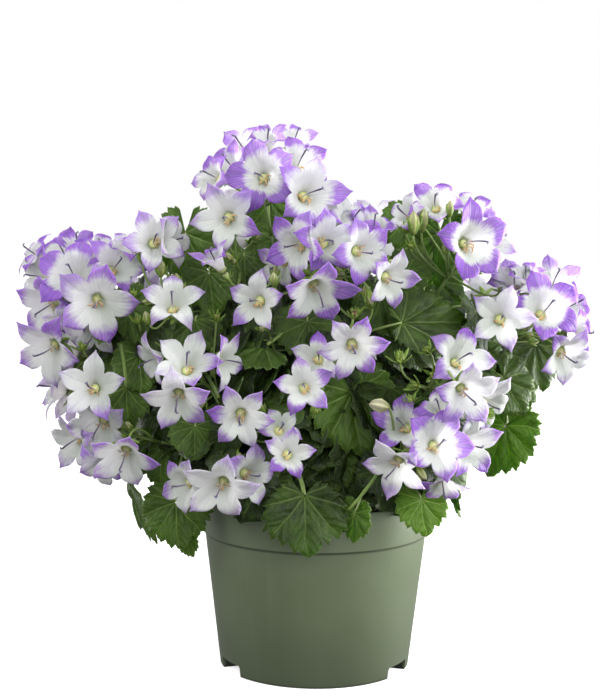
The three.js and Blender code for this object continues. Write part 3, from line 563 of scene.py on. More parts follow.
@dataclass(frozen=True)
class Bezier:
    """A Bezier curve of three or four points."""

    points: tuple[Array, ...]

    def at(self, t: float | Array) -> Array:
        """The point or points at a share t of the curve's own parameter.

        Args:
            t: the share or shares.

        Returns:
            A point for each share.
        """
        t = np.asarray(t, float)[..., None]
        degree = len(self.points) - 1
        total = 0.0
        for i, point in enumerate(self.points):
            total = total + math.comb(degree, i) * (1 - t) ** (degree - i) * t**i * point
        return total

    def at_length(self, share: float) -> Array:
        """The point at a share of the curve's length.

        Args:
            share: the share.

        Returns:
            The point.
        """
        t = np.linspace(0, 1, 201)
        steps = np.linalg.norm(np.diff(self.at(t), axis=0), axis=1)
        run = np.concatenate([[0], np.cumsum(steps)])
        return self.at(np.interp(share * run[-1], run, t))


@dataclass(frozen=True)
class Dome:
    """The eye that the front was laid out from, and the dome that the blooms stand on."""

    eye: Array = field(default_factory=lambda: vec(0, -750, 234))
    half_width: float = 158
    depth: float = 92
    height: float = 185
    centre_height: float = 100
    edge: float = 0.02
    crown: Array = field(default_factory=lambda: vec(0, 0, 96))
    back_across: float = 132
    back_deep: float = 108

    def along_sight(self, across: float, up: float, y: float) -> Array:
        """The point at depth y that the eye sees at (across, up) on the plane y = 0."""
        seen = vec(across, 0, up)
        return self.eye + (seen - self.eye) * (y - self.eye[1]) / -self.eye[1]

    def true_length(self, seen: float, y: float) -> float:
        """The length at depth y of what looks this long on the plane y = 0."""
        return seen * (y - self.eye[1]) / -self.eye[1]

    def depth_at(self, across: float, up: float) -> float:
        """The depth of the dome's front where the eye looks at (across, up).

        Args:
            across: to the right on the plane y = 0.
            up: the height on it.

        Returns:
            The depth along y.
        """
        share = across / self.half_width
        rise = max(up - self.centre_height, 0) / self.height
        return -self.depth * math.sqrt(max(1 - share * share - rise * rise, self.edge))


DOME = Dome()


class Draw:
    """The plant's own seeded draw between 0 and 1, the same one that laid out its solids."""

    def __init__(self, seed: int) -> None:
        """Starts the draw at a seed."""
        self.state = seed

    def next(self) -> float:
        """The next number."""
        self.state = (self.state * 1664525 + 1013904223) % 4294967296
        return self.state / 4294967296


# Meshes


@dataclass
class Book:
    """Vertices, faces and point attributes that are gathered into one mesh, in millimetres."""

    points: list[Array] = field(default_factory=list)
    faces: list[list[int]] = field(default_factory=list)
    values: dict[str, list[Array]] = field(default_factory=dict)
    count: int = 0

    def add(self, points: Array, faces: Iterable[Sequence[int]], **values: Array) -> None:
        """Adds a mesh.

        Args:
            points: its vertices, one row each.
            faces: the vertex numbers of each face.
            **values: vectors by attribute name, one row for each vertex or one for all.
        """
        size = len(points)
        self.points.append(points)
        self.faces.extend([[v + self.count for v in face] for face in faces])
        for name, rows in values.items():
            self.values.setdefault(name, []).append(np.broadcast_to(rows, (size, 3)))
        self.count += size

    def mesh(self, name: str) -> bpy.types.Mesh:
        """The gathered mesh, in metres and smooth shaded.

        Args:
            name: the mesh's name.

        Returns:
            The mesh.
        """
        mesh = bpy.data.meshes.new(name)
        mesh.from_pydata((np.concatenate(self.points) * MM).tolist(), [], self.faces)
        for key, rows in self.values.items():
            layer = mesh.attributes.new(key, "FLOAT_VECTOR", "POINT")
            layer.data.foreach_set("vector", np.concatenate(rows).astype(np.float32).ravel())
        mesh.shade_smooth()
        mesh.update()
        return mesh


def add_sheet(book: Book, grid: Array, thickness: Array, closed: bool, **values: Array) -> None:
    """Adds a thin closed sheet over a grid of points.

    Args:
        book: where it goes.
        grid: rows by columns by three. Its front is on the side from which the rows run outwards
            and the columns run counterclockwise.
        thickness: the vector from the back to the front, one or one for each point.
        closed: whether the last column joins the first.
        **values: rows by columns by three for each attribute. The third number of "under" is set
            to one on the back.
    """
    rows, columns = grid.shape[:2]
    half = np.broadcast_to(thickness, grid.shape) / 2
    front, back = (grid + half).reshape(-1, 3), (grid - half).reshape(-1, 3)
    size = rows * columns
    faces = []
    last = columns if closed else columns - 1
    for r in range(rows - 1):
        low, high = r * columns, (r + 1) * columns
        for c in range(last):
            d = (c + 1) % columns
            a, b, e, f = low + c, low + d, high + c, high + d
            faces.append([a, e, f, b])
            faces.append([a + size, b + size, f + size, e + size])
    for c in range(last):
        d = (c + 1) % columns
        faces.append([c, d, d + size, c + size])
        e, f = size - columns + c, size - columns + d
        faces.append([e, e + size, f + size, f])
    if not closed:
        for r in range(rows - 1):
            a, b = r * columns, (r + 1) * columns
            faces.append([a, a + size, b + size, b])
            a, b = a + columns - 1, b + columns - 1
            faces.append([a, b, b + size, a + size])
    doubled = {k: np.concatenate([v.reshape(-1, 3)] * 2) for k, v in values.items()}
    doubled["under"] = np.repeat([[0.0, 0, 0], [1.0, 0, 0]], size, axis=0)
    book.add(np.concatenate([front, back]), faces, **doubled)


def lathe(profile: Array, angles: Array) -> tuple[Array, list[list[int]]]:
    """A closed turned shape.

    Args:
        profile: rows of radius and height from the axis underneath to the axis on top.
        angles: the angles of the columns in radians, all the way round.

    Returns:
        Its vertices and faces.
    """
    rings = profile[1:-1]
    columns = len(angles)
    points = [vec(0, 0, profile[0][1])]
    for radius, height in rings:
        points.extend(vec(radius * math.sin(a), -radius * math.cos(a), height) for a in angles)
    points.append(vec(0, 0, profile[-1][1]))
    faces = []
    for c in range(columns):
        d = (c + 1) % columns
        faces.append([0, 1 + d, 1 + c])
        for r in range(len(rings) - 1):
            a = 1 + r * columns
            faces.append([a + c, a + d, a + columns + d, a + columns + c])
        top = 1 + (len(rings) - 1) * columns
        faces.append([top + c, top + d, len(points) - 1])
    return np.array(points), faces


def rounded(corners: Sequence[tuple[float, float, float]], steps: int = 4) -> Array:
    """A profile with arcs in place of its corners.

    Args:
        corners: radius, height and the radius of the rounding there, in order.
        steps: how many pieces each arc has.

    Returns:
        The profile's points, one row each.
    """
    points = []
    for i, (x, y, round_by) in enumerate(corners):
        here = vec(x, y)
        if round_by == 0 or i in (0, len(corners) - 1):
            points.append(here)
            continue
        before, after = vec(*corners[i - 1][:2]) - here, vec(*corners[i + 1][:2]) - here
        reach = min(round_by, np.linalg.norm(before) * 0.45, np.linalg.norm(after) * 0.45)
        curve = Bezier((here + unit(before) * reach, here, here + unit(after) * reach))
        points.extend(curve.at(np.linspace(0, 1, steps + 1)))
    return np.array(points)


# Shader expressions


class Wire:
    """A socket in a shader that can be used in expressions."""

    def __init__(self, graph: "Graph", socket: bpy.types.NodeSocket) -> None:
        """Holds the socket and the graph that it is in."""
        self.graph = graph
        self.socket = socket

    def math(self, operation: str, *values: "Wire | float") -> "Wire":
        """A Math node on this socket and the values."""
        inputs = dict(enumerate((self, *values)))
        return self.graph.node("ShaderNodeMath", {"operation": operation}, inputs)

    def __add__(self, other: "Wire | float") -> "Wire":
        """Sum."""
        return self.math("ADD", other)

    __radd__ = __add__

    def __mul__(self, other: "Wire | float") -> "Wire":
        """Product."""
        return self.math("MULTIPLY", other)

    __rmul__ = __mul__

    def __sub__(self, other: "Wire | float") -> "Wire":
        """Difference."""
        return self.math("SUBTRACT", other)

    def __rsub__(self, other: float) -> "Wire":
        """Difference from a number."""
        return self.math("MULTIPLY", -1.0).math("ADD", other)

    def __truediv__(self, other: "Wire | float") -> "Wire":
        """Quotient."""
        return self.math("DIVIDE", other)

    def __abs__(self) -> "Wire":
        """Size without its sign."""
        return self.math("ABSOLUTE")

    def ramp(self, low: "Wire | float", high: "Wire | float") -> "Wire":
        """Zero below low, one above high and smooth between them."""
        inputs = {"Value": self, "From Min": low, "From Max": high}
        return self.graph.node("ShaderNodeMapRange", {"interpolation_type": "SMOOTHSTEP"}, inputs)


class Graph:
    """The node tree of one material."""

    def __init__(self, name: str) -> None:
        """Makes a material with an empty tree.

        Args:
            name: the material's name.
        """
        self.material = bpy.data.materials.new(name)
        self.material.use_nodes = True
        self.tree = self.material.node_tree
        self.tree.nodes.clear()

    def node(
        self,
        kind: str,
        settings: dict | None = None,
        inputs: dict | None = None,
        output: int | str = 0,
    ) -> Wire:
        """Adds a node.

        Args:
            kind: the node's type.
            settings: its properties, set first.
            inputs: values or wires by the name or number of the socket.
            output: the name or number of the socket that is returned.

        Returns:
            The wire from its output.
        """
        made = self.tree.nodes.new(kind)
        for key, value in (settings or {}).items():
            setattr(made, key, value)
        for key, value in (inputs or {}).items():
            if isinstance(value, Wire):
                self.tree.links.new(value.socket, made.inputs[key])
            else:
                made.inputs[key].default_value = value
        return Wire(self, made.outputs[output])

    def attribute(self, name: str) -> tuple[Wire, Wire, Wire]:
        """The three numbers of a vector that each vertex carries.

        Args:
            name: the attribute's name.

        Returns:
            A wire for each number.
        """
        vector = self.node("ShaderNodeAttribute", {"attribute_name": name}, output="Vector")
        split = self.node("ShaderNodeSeparateXYZ", inputs={"Vector": vector}).socket.node
        return tuple(Wire(self, split.outputs[i]) for i in range(3))

    def colour_attribute(self, name: str) -> Wire:
        """A vector that each vertex carries, as a colour."""
        return self.node("ShaderNodeAttribute", {"attribute_name": name}, output="Color")

    def vector(self, x: "Wire | float", y: "Wire | float", z: "Wire | float") -> Wire:
        """A vector of three numbers."""
        return self.node("ShaderNodeCombineXYZ", inputs={0: x, 1: y, 2: z})

    def object_place(self, scale: float) -> Wire:
        """The place on the object, scaled.

        Args:
            scale: what it is multiplied by.

        Returns:
            The wire of the place.
        """
        place = self.node("ShaderNodeTexCoord", output="Object")
        return self.node(
            "ShaderNodeVectorMath", {"operation": "SCALE"}, {0: place, "Scale": scale}
        )

    def noise(self, place: Wire, scale: float, detail: float = 2.0, roughness: float = 0.5) -> Wire:
        """Soft noise between 0 and 1."""
        inputs = {"Vector": place, "Scale": scale, "Detail": detail, "Roughness": roughness}
        return self.node("ShaderNodeTexNoise", inputs=inputs)

    def mix(self, share: "Wire | float", low: "Wire | tuple", high: "Wire | tuple") -> Wire:
        """One colour over another."""
        inputs = {0: share, 6: low, 7: high}
        return self.node("ShaderNodeMix", {"data_type": "RGBA"}, inputs, output=2)

    def bump(self, height: Wire, strength: float, distance: float) -> Wire:
        """A bumped normal, with its distance in metres."""
        inputs = {"Strength": strength, "Distance": distance, "Height": height}
        return self.node("ShaderNodeBump", inputs=inputs, output="Normal")

    def finish(self, **inputs: "Wire | float | tuple") -> bpy.types.Material:
        """Ends the tree in a Principled surface.

        Args:
            **inputs: the surface's inputs, with underscores for spaces.

        Returns:
            The finished material.
        """
        named = {key.replace("_", " "): value for key, value in inputs.items()}
        surface = self.node("ShaderNodeBsdfPrincipled", inputs=named)
        end = self.tree.nodes.new("ShaderNodeOutputMaterial")
        self.tree.links.new(surface.socket, end.inputs["Surface"])
        return self.material


@dataclass(frozen=True)
class PetalFinish:
    """White in the throat, violet towards the tips, with fine veins and a violet hem."""

    throat: str = "#cdd3b4"
    white: str = "#f1f1ee"
    lilac: str = "#c6b6e4"
    violet: str = "#7f3ac8"
    deep: str = "#4f1f94"
    back: str = "#cdc3e4"
    roughness: float = 0.55

    def build(self) -> bpy.types.Material:
        """Builds the finish.

        Returns:
            The material.
        """
        g = Graph("petal")
        reach, across, edge = g.attribute("petal")
        east, north, _ = g.attribute("round")
        tint, seed, _ = g.attribute("bloom")
        under, _, _ = g.attribute("under")
        streaks = g.noise(g.vector(east * 9 + reach * 1.5, north * 9, seed * 17), 1.0, 3.0)
        blotch = g.noise(g.vector(east * reach, north * reach, seed * 31), 2.2, 2.0)
        start = 0.61 - tint * 0.22
        lean = (east * (seed * 6.3).math("COSINE") + north * (seed * 6.3).math("SINE")) * 0.09
        wander = (streaks - 0.5) * 0.17 + (blotch - 0.5) * 0.5 + lean
        violet = (reach + wander).ramp(start, start + 0.43 - tint * 0.18) * (tint * 0.85 + 0.46)
        lilac = (reach + wander * 0.5).ramp(0.35, 0.95) * (tint * 0.5 + 0.25)
        veins = (across * 24 + (streaks - 0.5) * 5).math("SINE").ramp(0.2, 1.0)
        base = g.mix(reach.ramp(0.08, 0.34), linear(self.throat), linear(self.white))
        shade = g.mix(lilac, base, linear(self.lilac))
        shade = g.mix(violet.math("MINIMUM", 1.0), shade, linear(self.violet))
        tips = (reach + wander * 0.9).ramp(0.72, 1.0) * (tint * 0.9 + 0.05)
        fine = (across * 43 + (streaks - 0.5) * 9).math("SINE").ramp(0.1, 1.0)
        shade = g.mix((1 - tips) * violet * (fine * 0.2), shade, linear(self.lilac))
        depth = veins * violet * 0.4 + tips * 0.7 + violet * tint * tint * 0.14
        shade = g.mix(depth, shade, linear(self.deep))
        shade = g.mix(veins * 0.1, shade, linear(self.lilac))
        hem = edge.ramp(0.9, 1.0) * reach.ramp(0.4, 0.75)
        shade = g.mix(hem * (tint * 0.5 + 0.1), shade, linear(self.violet))
        shade = g.mix(under * 0.5, shade, linear(self.back))
        height = veins * 0.5 + streaks + (across * -9).math("EXPONENT") * -1.2
        return g.finish(
            Base_Color=shade,
            Roughness=self.roughness,
            Normal=g.bump(height, 0.4, 0.0005),
            Subsurface_Weight=0.9,
            Subsurface_Radius=(1.0, 0.9, 1.0),
            Subsurface_Scale=0.004,
            Specular_IOR_Level=0.3,
        )


# The angle between two main veins of a leaf, in radians
VEIN_SECTOR = 0.646


@dataclass(frozen=True)
class LeafFinish:
    """Green with pale palmate veins, quilted between them, and paler underneath."""

    deep: str = "#122007"
    fresh: str = "#577a20"
    vein: str = "#93ad5c"
    back: str = "#66844a"
    roughness: float = 0.47

    def build(self) -> bpy.types.Material:
        """Builds the finish.

        Returns:
            The material.
        """
        g = Graph("leaf")
        x, y, rim = g.attribute("blade")
        tint, seed, _ = g.attribute("leaf")
        under, _, _ = g.attribute("under")
        place = g.vector(x, y, seed * 9)
        bend = g.noise(place, 2.4, 1.0)
        reach = (x * x + y * y).math("SQRT")
        angle = y.math("ARCTAN2", x)
        swayed = angle + (bend - 0.5) * 0.3 * reach
        swayed = swayed + (angle * 2.0).math("SINE") * (reach - 0.5) * -0.1
        half = VEIN_SECTOR / 2
        turned = swayed.math("WRAP", half, -half)
        off = abs(turned.math("SINE") * reach)
        along = turned.math("COSINE") * reach
        width = 0.021 - reach * 0.014
        ahead = 1 - abs(angle).ramp(2.15, 2.3)
        main = (1 - off.ramp(width * 0.3, width)) * ahead
        side = turned.math("SIGN") * 0.5
        bowed = along - off * 1.1 - off * off * 1.2
        steps = (bowed * 5.2 + seed * 3 + side + bend * 1.6).math("FRACT")
        branch = (1 - abs(steps - 0.5).ramp(0.01, 0.055)) * off.ramp(0.0, 0.03)
        branch = branch * reach.ramp(0.2, 0.4)
        inputs = {"Vector": place, "Scale": 15.0}
        cells = g.node("ShaderNodeTexVoronoi", {"feature": "DISTANCE_TO_EDGE"}, inputs)
        net = 1 - cells.ramp(0.0, 0.08)
        patch = g.noise(place, 3.2, 3.0)
        # Painted light and shade: each leaf's tint sets it from deep to fresh green, partly its own
        # tone and partly how lit it is.
        tone_and_painted_light = tint * 0.98 + (patch - 0.5) * 0.85 + 0.01
        green = g.mix(tone_and_painted_light, linear(self.deep), linear(self.fresh))
        pale = (main * 0.75 + branch * 0.36 + net * 0.07) * (tint * 0.85 + 0.08)
        shade = g.mix(pale, green, linear(self.vein))
        shade = g.mix(rim.ramp(0.965, 1.0) * (tint * 0.5 + 0.02), shade, linear(self.vein))
        shade = g.mix(under * 0.6, shade, linear(self.back))
        quilt = off.ramp(0.0, 0.16) * 1.2 + abs(steps - 0.5) * -0.9
        height = quilt * (1 - main) + net * -0.25 + patch * 0.6
        return g.finish(
            Base_Color=shade,
            Roughness=self.roughness,
            Normal=g.bump(height, 0.6, 0.0009),
            Subsurface_Weight=0.3,
            Subsurface_Radius=(0.8, 1.2, 0.4),
            Subsurface_Scale=0.002,
            Specular_IOR_Level=0.32,
        )


@dataclass(frozen=True)
class FleshFinish:
    """Stalks, calyces, buds and hearts: each vertex carries its own paint."""

    name: str
    roughness: float = 0.5
    mottle: float = 0.35

    def build(self) -> bpy.types.Material:
        """Builds the finish.

        Returns:
            The material.
        """
        g = Graph(self.name)
        paint = g.colour_attribute("paint")
        fleck = g.noise(g.object_place(1.0), 900.0, 3.0)
        ridge = g.noise(g.object_place(1.0), 2600.0)
        dark = g.mix(0.55, paint, linear("#20300f"))
        shade = g.mix((fleck - 0.3).ramp(0.0, 0.5) * self.mottle, paint, dark)
        return g.finish(
            Base_Color=shade,
            Roughness=self.roughness,
            Normal=g.bump(ridge, 0.3, 0.0002),
            Subsurface_Weight=0.1,
            Subsurface_Radius=(1.0, 1.0, 0.5),
            Subsurface_Scale=0.0008,
        )


@dataclass(frozen=True)
class PotFinish:
    """Moulded sage-green plastic with a soft satin surface, with painted shade at the foot,
    underneath and under the band, and painted light towards the top.
    """

    colour: str = "#616c51"
    light: str = "#6d795e"
    # Painted shade: the wall is painted darker towards the foot.
    foot: str = "#434c3b"
    # Painted light: the wall is painted lighter towards the top.
    top: str = "#85927a"
    dust: str = "#8b947f"
    # Painted shadow under the band's ledge and round the bottom edge.
    shadow_lines: str = "#2c3227"
    # Painted shade under the floor and inside the foot ring.
    underside_shadow: str = "#14170f"
    streaks: tuple[float, float, float] = (160.0, 160.0, 9.0)
    roughness: float = 0.4

    def build(self) -> bpy.types.Material:
        """Builds the finish.

        Returns:
            The material.
        """
        g = Graph("pot")
        place = g.object_place(1.0)
        cloud = g.noise(place, 22.0, 3.0)
        grain = g.noise(place, 1400.0, 2.0)
        inputs = {0: place, 1: self.streaks}
        streak = g.noise(g.node("ShaderNodeVectorMath", {"operation": "MULTIPLY"}, inputs), 1.0)
        shade = g.mix(cloud.ramp(0.3, 0.75) * 0.6, linear(self.colour), linear(self.light))
        shade = g.mix(streak.ramp(0.55, 0.8) * 0.12, shade, linear(self.dust))
        split = g.node("ShaderNodeSeparateXYZ", inputs={0: place}).socket.node
        x, y, height = (Wire(g, split.outputs[i]) for i in range(3))
        reach = (x * x + y * y).math("SQRT")
        # Painted shade: darker towards the foot.
        shade = g.mix(height.ramp(0.062, 0.0) * 0.72, shade, linear(self.foot))
        # Painted light: lighter towards the top.
        shade = g.mix(height.ramp(0.045, 0.085) * 0.4, shade, linear(self.top))
        # Painted shadow: a thin dark line under the band's ledge, and another round the bottom
        # edge.
        line = height.ramp(0.0686, 0.0694) * height.ramp(0.0708, 0.0702)
        shade = g.mix((line + height.ramp(0.0016, 0.0004)) * 0.6, shade, linear(self.shadow_lines))
        # Painted shade: near black under the floor and inside the foot ring.
        inside = height.ramp(0.0085, 0.0075) * reach.ramp(0.0486, 0.0478)
        shade = g.mix(inside * 0.9, shade, linear(self.underside_shadow))
        return g.finish(
            Base_Color=shade,
            Roughness=self.roughness + (cloud - 0.5) * 0.12 + (grain - 0.5) * 0.1,
            Normal=g.bump(grain * 0.6 + streak * 0.8, 0.12, 0.0002),
            Specular_IOR_Level=0.5,
        )


@dataclass(frozen=True)
class SoilFinish:
    """Dark moist peat with paler fibres."""

    dark: str = "#191310"
    pale: str = "#4a3728"

    def build(self) -> bpy.types.Material:
        """Builds the finish.

        Returns:
            The material.
        """
        g = Graph("soil")
        place = g.object_place(1.0)
        clump = g.noise(place, 120.0, 4.0, 0.65)
        grit = g.noise(place, 900.0, 3.0, 0.6)
        shade = g.mix(clump.ramp(0.4, 0.7) * 0.8, linear(self.dark), linear(self.pale))
        return g.finish(
            Base_Color=shade,
            Roughness=0.9,
            Normal=g.bump(clump + grit * 0.5, 0.8, 0.0012),
            Specular_IOR_Level=0.25,
        )


@dataclass(frozen=True)
class FloorFinish:
    """A plain pale floor."""

    colour: str = "#ecebea"
    glow: float = 0.68

    def build(self) -> bpy.types.Material:
        """Builds the finish.

        Returns:
            The material.
        """
        return Graph("floor").finish(
            Base_Color=linear(self.colour),
            Roughness=0.9,
            Emission_Color=(1.0, 1.0, 1.0, 1.0),
            Emission_Strength=self.glow,
        )


# Geometry Nodes


@dataclass(frozen=True)
class Knob:
    """A named input of a Geometry Nodes tree."""

    name: str
    kind: str


class Grower:
    """A Geometry Nodes tree that makes what repeats or follows a path."""

    def __init__(self, name: str, knobs: Sequence[Knob]) -> None:
        """Makes a tree with these inputs beside its geometry.

        Args:
            name: the tree's name.
            knobs: its inputs.
        """
        self.tree = bpy.data.node_groups.new(name, "GeometryNodeTree")
        face = self.tree.interface
        face.new_socket("Geometry", in_out="INPUT", socket_type="NodeSocketGeometry")
        for knob in knobs:
            face.new_socket(knob.name, in_out="INPUT", socket_type=f"NodeSocket{knob.kind}")
        face.new_socket("Geometry", in_out="OUTPUT", socket_type="NodeSocketGeometry")
        self.source = self.tree.nodes.new("NodeGroupInput")
        self.sink = self.tree.nodes.new("NodeGroupOutput")

    def node(self, kind: str, inputs: dict, settings: dict | None = None) -> bpy.types.Node:
        """Adds a node with its settings, and its values or links by name or number.

        Args:
            kind: the node's type.
            inputs: values or sockets by the name or number of the input.
            settings: its properties, set first.

        Returns:
            The node.
        """
        made = self.tree.nodes.new(kind)
        for key, value in (settings or {}).items():
            setattr(made, key, value)
        for key, value in inputs.items():
            if isinstance(value, bpy.types.NodeSocket):
                self.tree.links.new(value, made.inputs[key])
            else:
                made.inputs[key].default_value = value
        return made

    def knob(self, name: str) -> bpy.types.NodeSocket:
        """The socket of one of the tree's inputs."""
        return self.source.outputs[name]

    def named(self, name: str, kind: str) -> bpy.types.NodeSocket:
        """An attribute that the points carry."""
        found = self.node("GeometryNodeInputNamedAttribute", {"Name": name}, {"data_type": kind})
        return found.outputs["Attribute"]

    def end(self, geometry: bpy.types.NodeSocket) -> None:
        """Ends the tree in Realize Instances and Set Material.

        Args:
            geometry: what the tree has made.
        """
        real = self.node("GeometryNodeRealizeInstances", {0: geometry})
        inputs = {"Geometry": real.outputs[0], "Material": self.knob("Material")}
        dressed = self.node("GeometryNodeSetMaterial", inputs)
        self.tree.links.new(dressed.outputs[0], self.sink.inputs[0])

    def place_copies(
        self,
        dots: bpy.types.Node,
        shape: bpy.types.Node,
        turn: bpy.types.NodeSocket,
        size: bpy.types.NodeSocket,
    ) -> None:
        """Ends the tree in a copy of a shape at each point.

        Args:
            dots: the node that makes the points.
            shape: the node that reads the shape.
            turn: the turn of each copy.
            size: the scale of each copy.
        """
        inputs = {"Points": dots.outputs[0], "Instance": shape.outputs["Geometry"]}
        inputs.update({"Rotation": turn, "Scale": size})
        self.end(self.node("GeometryNodeInstanceOnPoints", inputs).outputs[0])

    def grow(self, mesh: bpy.types.Mesh, **values: object) -> bpy.types.Mesh:
        """Runs the tree on a mesh.

        Args:
            mesh: what the tree starts from.
            **values: the tree's inputs by name, with underscores for spaces.

        Returns:
            The result as a plain mesh.
        """
        holder = bpy.data.objects.new("grower", mesh)
        bpy.context.scene.collection.objects.link(holder)
        modifier = holder.modifiers.new("grow", "NODES")
        modifier.node_group = self.tree
        for item in self.tree.interface.items_tree:
            key = item.name.replace(" ", "_")
            if item.in_out == "INPUT" and key in values:
                modifier[item.identifier] = values[key]
        holder.update_tag()
        graph = bpy.context.evaluated_depsgraph_get()
        grown = bpy.data.meshes.new_from_object(holder.evaluated_get(graph), depsgraph=graph)
        bpy.data.objects.remove(holder)
        return grown


class StalkGrower(Grower):
    """Round stalks along lines, as thick as each point says."""

    def __init__(self) -> None:
        """Builds the tree."""
        super().__init__("stalks", [Knob("Sides", "Int"), Knob("Material", "Material")])
        line = self.node("GeometryNodeMeshToCurve", {0: self.source.outputs[0]})
        ring = self.node(
            "GeometryNodeCurvePrimitiveCircle", {"Resolution": self.knob("Sides"), "Radius": 1.0}
        )
        inputs = {0: line.outputs[0], 1: ring.outputs[0], 2: self.named("girth", "FLOAT"), 3: True}
        tube = self.node("GeometryNodeCurveToMesh", inputs)
        smooth = self.node("GeometryNodeSetShadeSmooth", {0: tube.outputs[0]})
        self.end(smooth.outputs[0])


class PlantGrower(Grower):
    """Copies of one small shape, one at each point, turned and sized as the point says."""

    def __init__(self) -> None:
        """Builds the tree."""
        knobs = [Knob("Shape", "Object"), Knob("Spread", "Float"), Knob("Seed", "Int")]
        super().__init__("planting", [*knobs, Knob("Material", "Material")])
        dots = self.node("GeometryNodeMeshToPoints", {0: self.source.outputs[0]})
        shape = self.node("GeometryNodeObjectInfo", {0: self.knob("Shape"), 1: True})
        low = self.node(
            "ShaderNodeMath", {0: 1.0, 1: self.knob("Spread")}, {"operation": "SUBTRACT"}
        )
        high = self.node("ShaderNodeMath", {0: 1.0, 1: self.knob("Spread")}, {"operation": "ADD"})
        inputs = {2: low.outputs[0], 3: high.outputs[0], "Seed": self.knob("Seed")}
        vary = self.node("FunctionNodeRandomValue", inputs, {"data_type": "FLOAT"})
        inputs = {0: self.named("size", "FLOAT"), 1: vary.outputs[1]}
        size = self.node("ShaderNodeMath", inputs, {"operation": "MULTIPLY"})
        self.place_copies(dots, shape, self.named("turn", "QUATERNION"), size.outputs[0])


class CrumbGrower(Grower):
    """Lumps of soil scattered over a face, each turned and sized at random."""

    def __init__(self) -> None:
        """Builds the tree."""
        knobs = [Knob("Lump", "Object"), Knob("Density", "Float"), Knob("Smallest", "Float")]
        knobs += [Knob("Largest", "Float"), Knob("Seed", "Int"), Knob("Material", "Material")]
        super().__init__("crumbs", knobs)
        inputs = {"Mesh": self.source.outputs[0], "Density": self.knob("Density")}
        dots = self.node(
            "GeometryNodeDistributePointsOnFaces", {**inputs, "Seed": self.knob("Seed")}
        )
        lump = self.node("GeometryNodeObjectInfo", {0: self.knob("Lump"), 1: True})
        inputs = {0: (-3.14, -3.14, -3.14), 1: (3.14, 3.14, 3.14), "Seed": self.knob("Seed")}
        spin = self.node("FunctionNodeRandomValue", inputs, {"data_type": "FLOAT_VECTOR"})
        inputs = {2: self.knob("Smallest"), 3: self.knob("Largest"), "Seed": self.knob("Seed")}
        size = self.node("FunctionNodeRandomValue", inputs, {"data_type": "FLOAT"})
        self.place_copies(dots, lump, spin.outputs[0], size.outputs[1])


@dataclass(frozen=True)
class StalkLook:
    """How thick a stalk is and how it is painted, at both ends."""

    girths: tuple[float, float]
    paints: tuple[str, str]


SPINE = StalkLook((0.85, 0.75), ("#52692f", "#6d8640"))
BLOOM_STALK = StalkLook((0.6, 0.55), ("#6d8a42", "#93aa5e"))
BLOOM_FOOT = StalkLook((0.75, 1.7), ("#86a053", "#a9b877"))
BUD_STALK = StalkLook((0.55, 0.6), ("#5d7838", "#8aa158"))
SIDE_BUD_STALK = StalkLook((0.4, 0.45), ("#5d7838", "#8aa158"))
LEAFY_STEM = StalkLook((1.0, 0.8), ("#3f4f22", "#50652d"))
LEAF_STALK = StalkLook((0.75, 0.55), ("#6f8842", "#a2b571"))
SHOWN_STALK = StalkLook((0.8, 0.95), ("#86a052", "#5f7a38"))
SMALL_LEAF_STALK = StalkLook((0.5, 0.4), ("#4f6530", "#6d8644"))


@dataclass
class Stalks:
    """Lines that become stalks, each with its thickness, paint and group."""

    points: list[Array] = field(default_factory=list)
    girths: list[float] = field(default_factory=list)
    paints: list[Array] = field(default_factory=list)
    groups: list[int] = field(default_factory=list)
    edges: list[tuple[int, int]] = field(default_factory=list)

    def add(self, group: int, line: Array, look: StalkLook) -> None:
        """Adds a stalk.

        Args:
            group: the piece that it belongs to.
            line: its points in order.
            look: its thickness and paint.
        """
        start, count = len(self.points), len(line)
        ends = [hue(code) for code in look.paints]
        for i, point in enumerate(line):
            share = i / (count - 1)
            self.points.append(point)
            self.girths.append(mix(*look.girths, share))
            self.paints.append(mix(*ends, share))
            self.groups.append(group)
        self.edges.extend((i, i + 1) for i in range(start, start + count - 1))

    def mesh(self) -> bpy.types.Mesh:
        """The lines as a mesh of edges, in metres.

        Returns:
            The mesh.
        """
        mesh = bpy.data.meshes.new("stalk_lines")
        mesh.from_pydata((np.array(self.points) * MM).tolist(), self.edges, [])
        write_values(mesh, "girth", "FLOAT", np.array(self.girths) * MM)
        write_values(mesh, "group", "INT", np.array(self.groups))
        write_values(mesh, "paint", "FLOAT_VECTOR", np.array(self.paints))
        return mesh


@dataclass
class Planting:
    """Points that each get a copy of a small shape."""

    points: list[Array] = field(default_factory=list)
    turns: list[tuple[float, ...]] = field(default_factory=list)
    sizes: list[float] = field(default_factory=list)
    groups: list[int] = field(default_factory=list)
    values: list[Array] = field(default_factory=list)

    def add(
        self,
        group: int,
        point: Array,
        turn: Sequence[float],
        size: float = 1.0,
        value: Sequence[float] = (0, 0, 0),
    ) -> None:
        """Adds a point with its turn, its size and the three numbers that its copy carries.

        Args:
            group: the piece that the copy belongs to.
            point: its place.
            turn: its turn as a quaternion.
            size: its scale.
            value: the three numbers that it carries.
        """
        self.points.append(point)
        self.turns.append(tuple(turn))
        self.sizes.append(size)
        self.groups.append(group)
        self.values.append(vec(*value))

    def mesh(self, value_name: str = "") -> bpy.types.Mesh:
        """The points as a mesh, in metres.

        Args:
            value_name: the attribute for the three numbers, if they are wanted.

        Returns:
            The mesh.
        """
        mesh = bpy.data.meshes.new("planting_points")
        mesh.from_pydata((np.array(self.points) * MM).tolist(), [], [])
        write_values(mesh, "size", "FLOAT", np.array(self.sizes))
        write_values(mesh, "turn", "QUATERNION", np.array(self.turns))
        write_values(mesh, "group", "INT", np.array(self.groups))
        if value_name:
            write_values(mesh, value_name, "FLOAT_VECTOR", np.array(self.values))
        return mesh


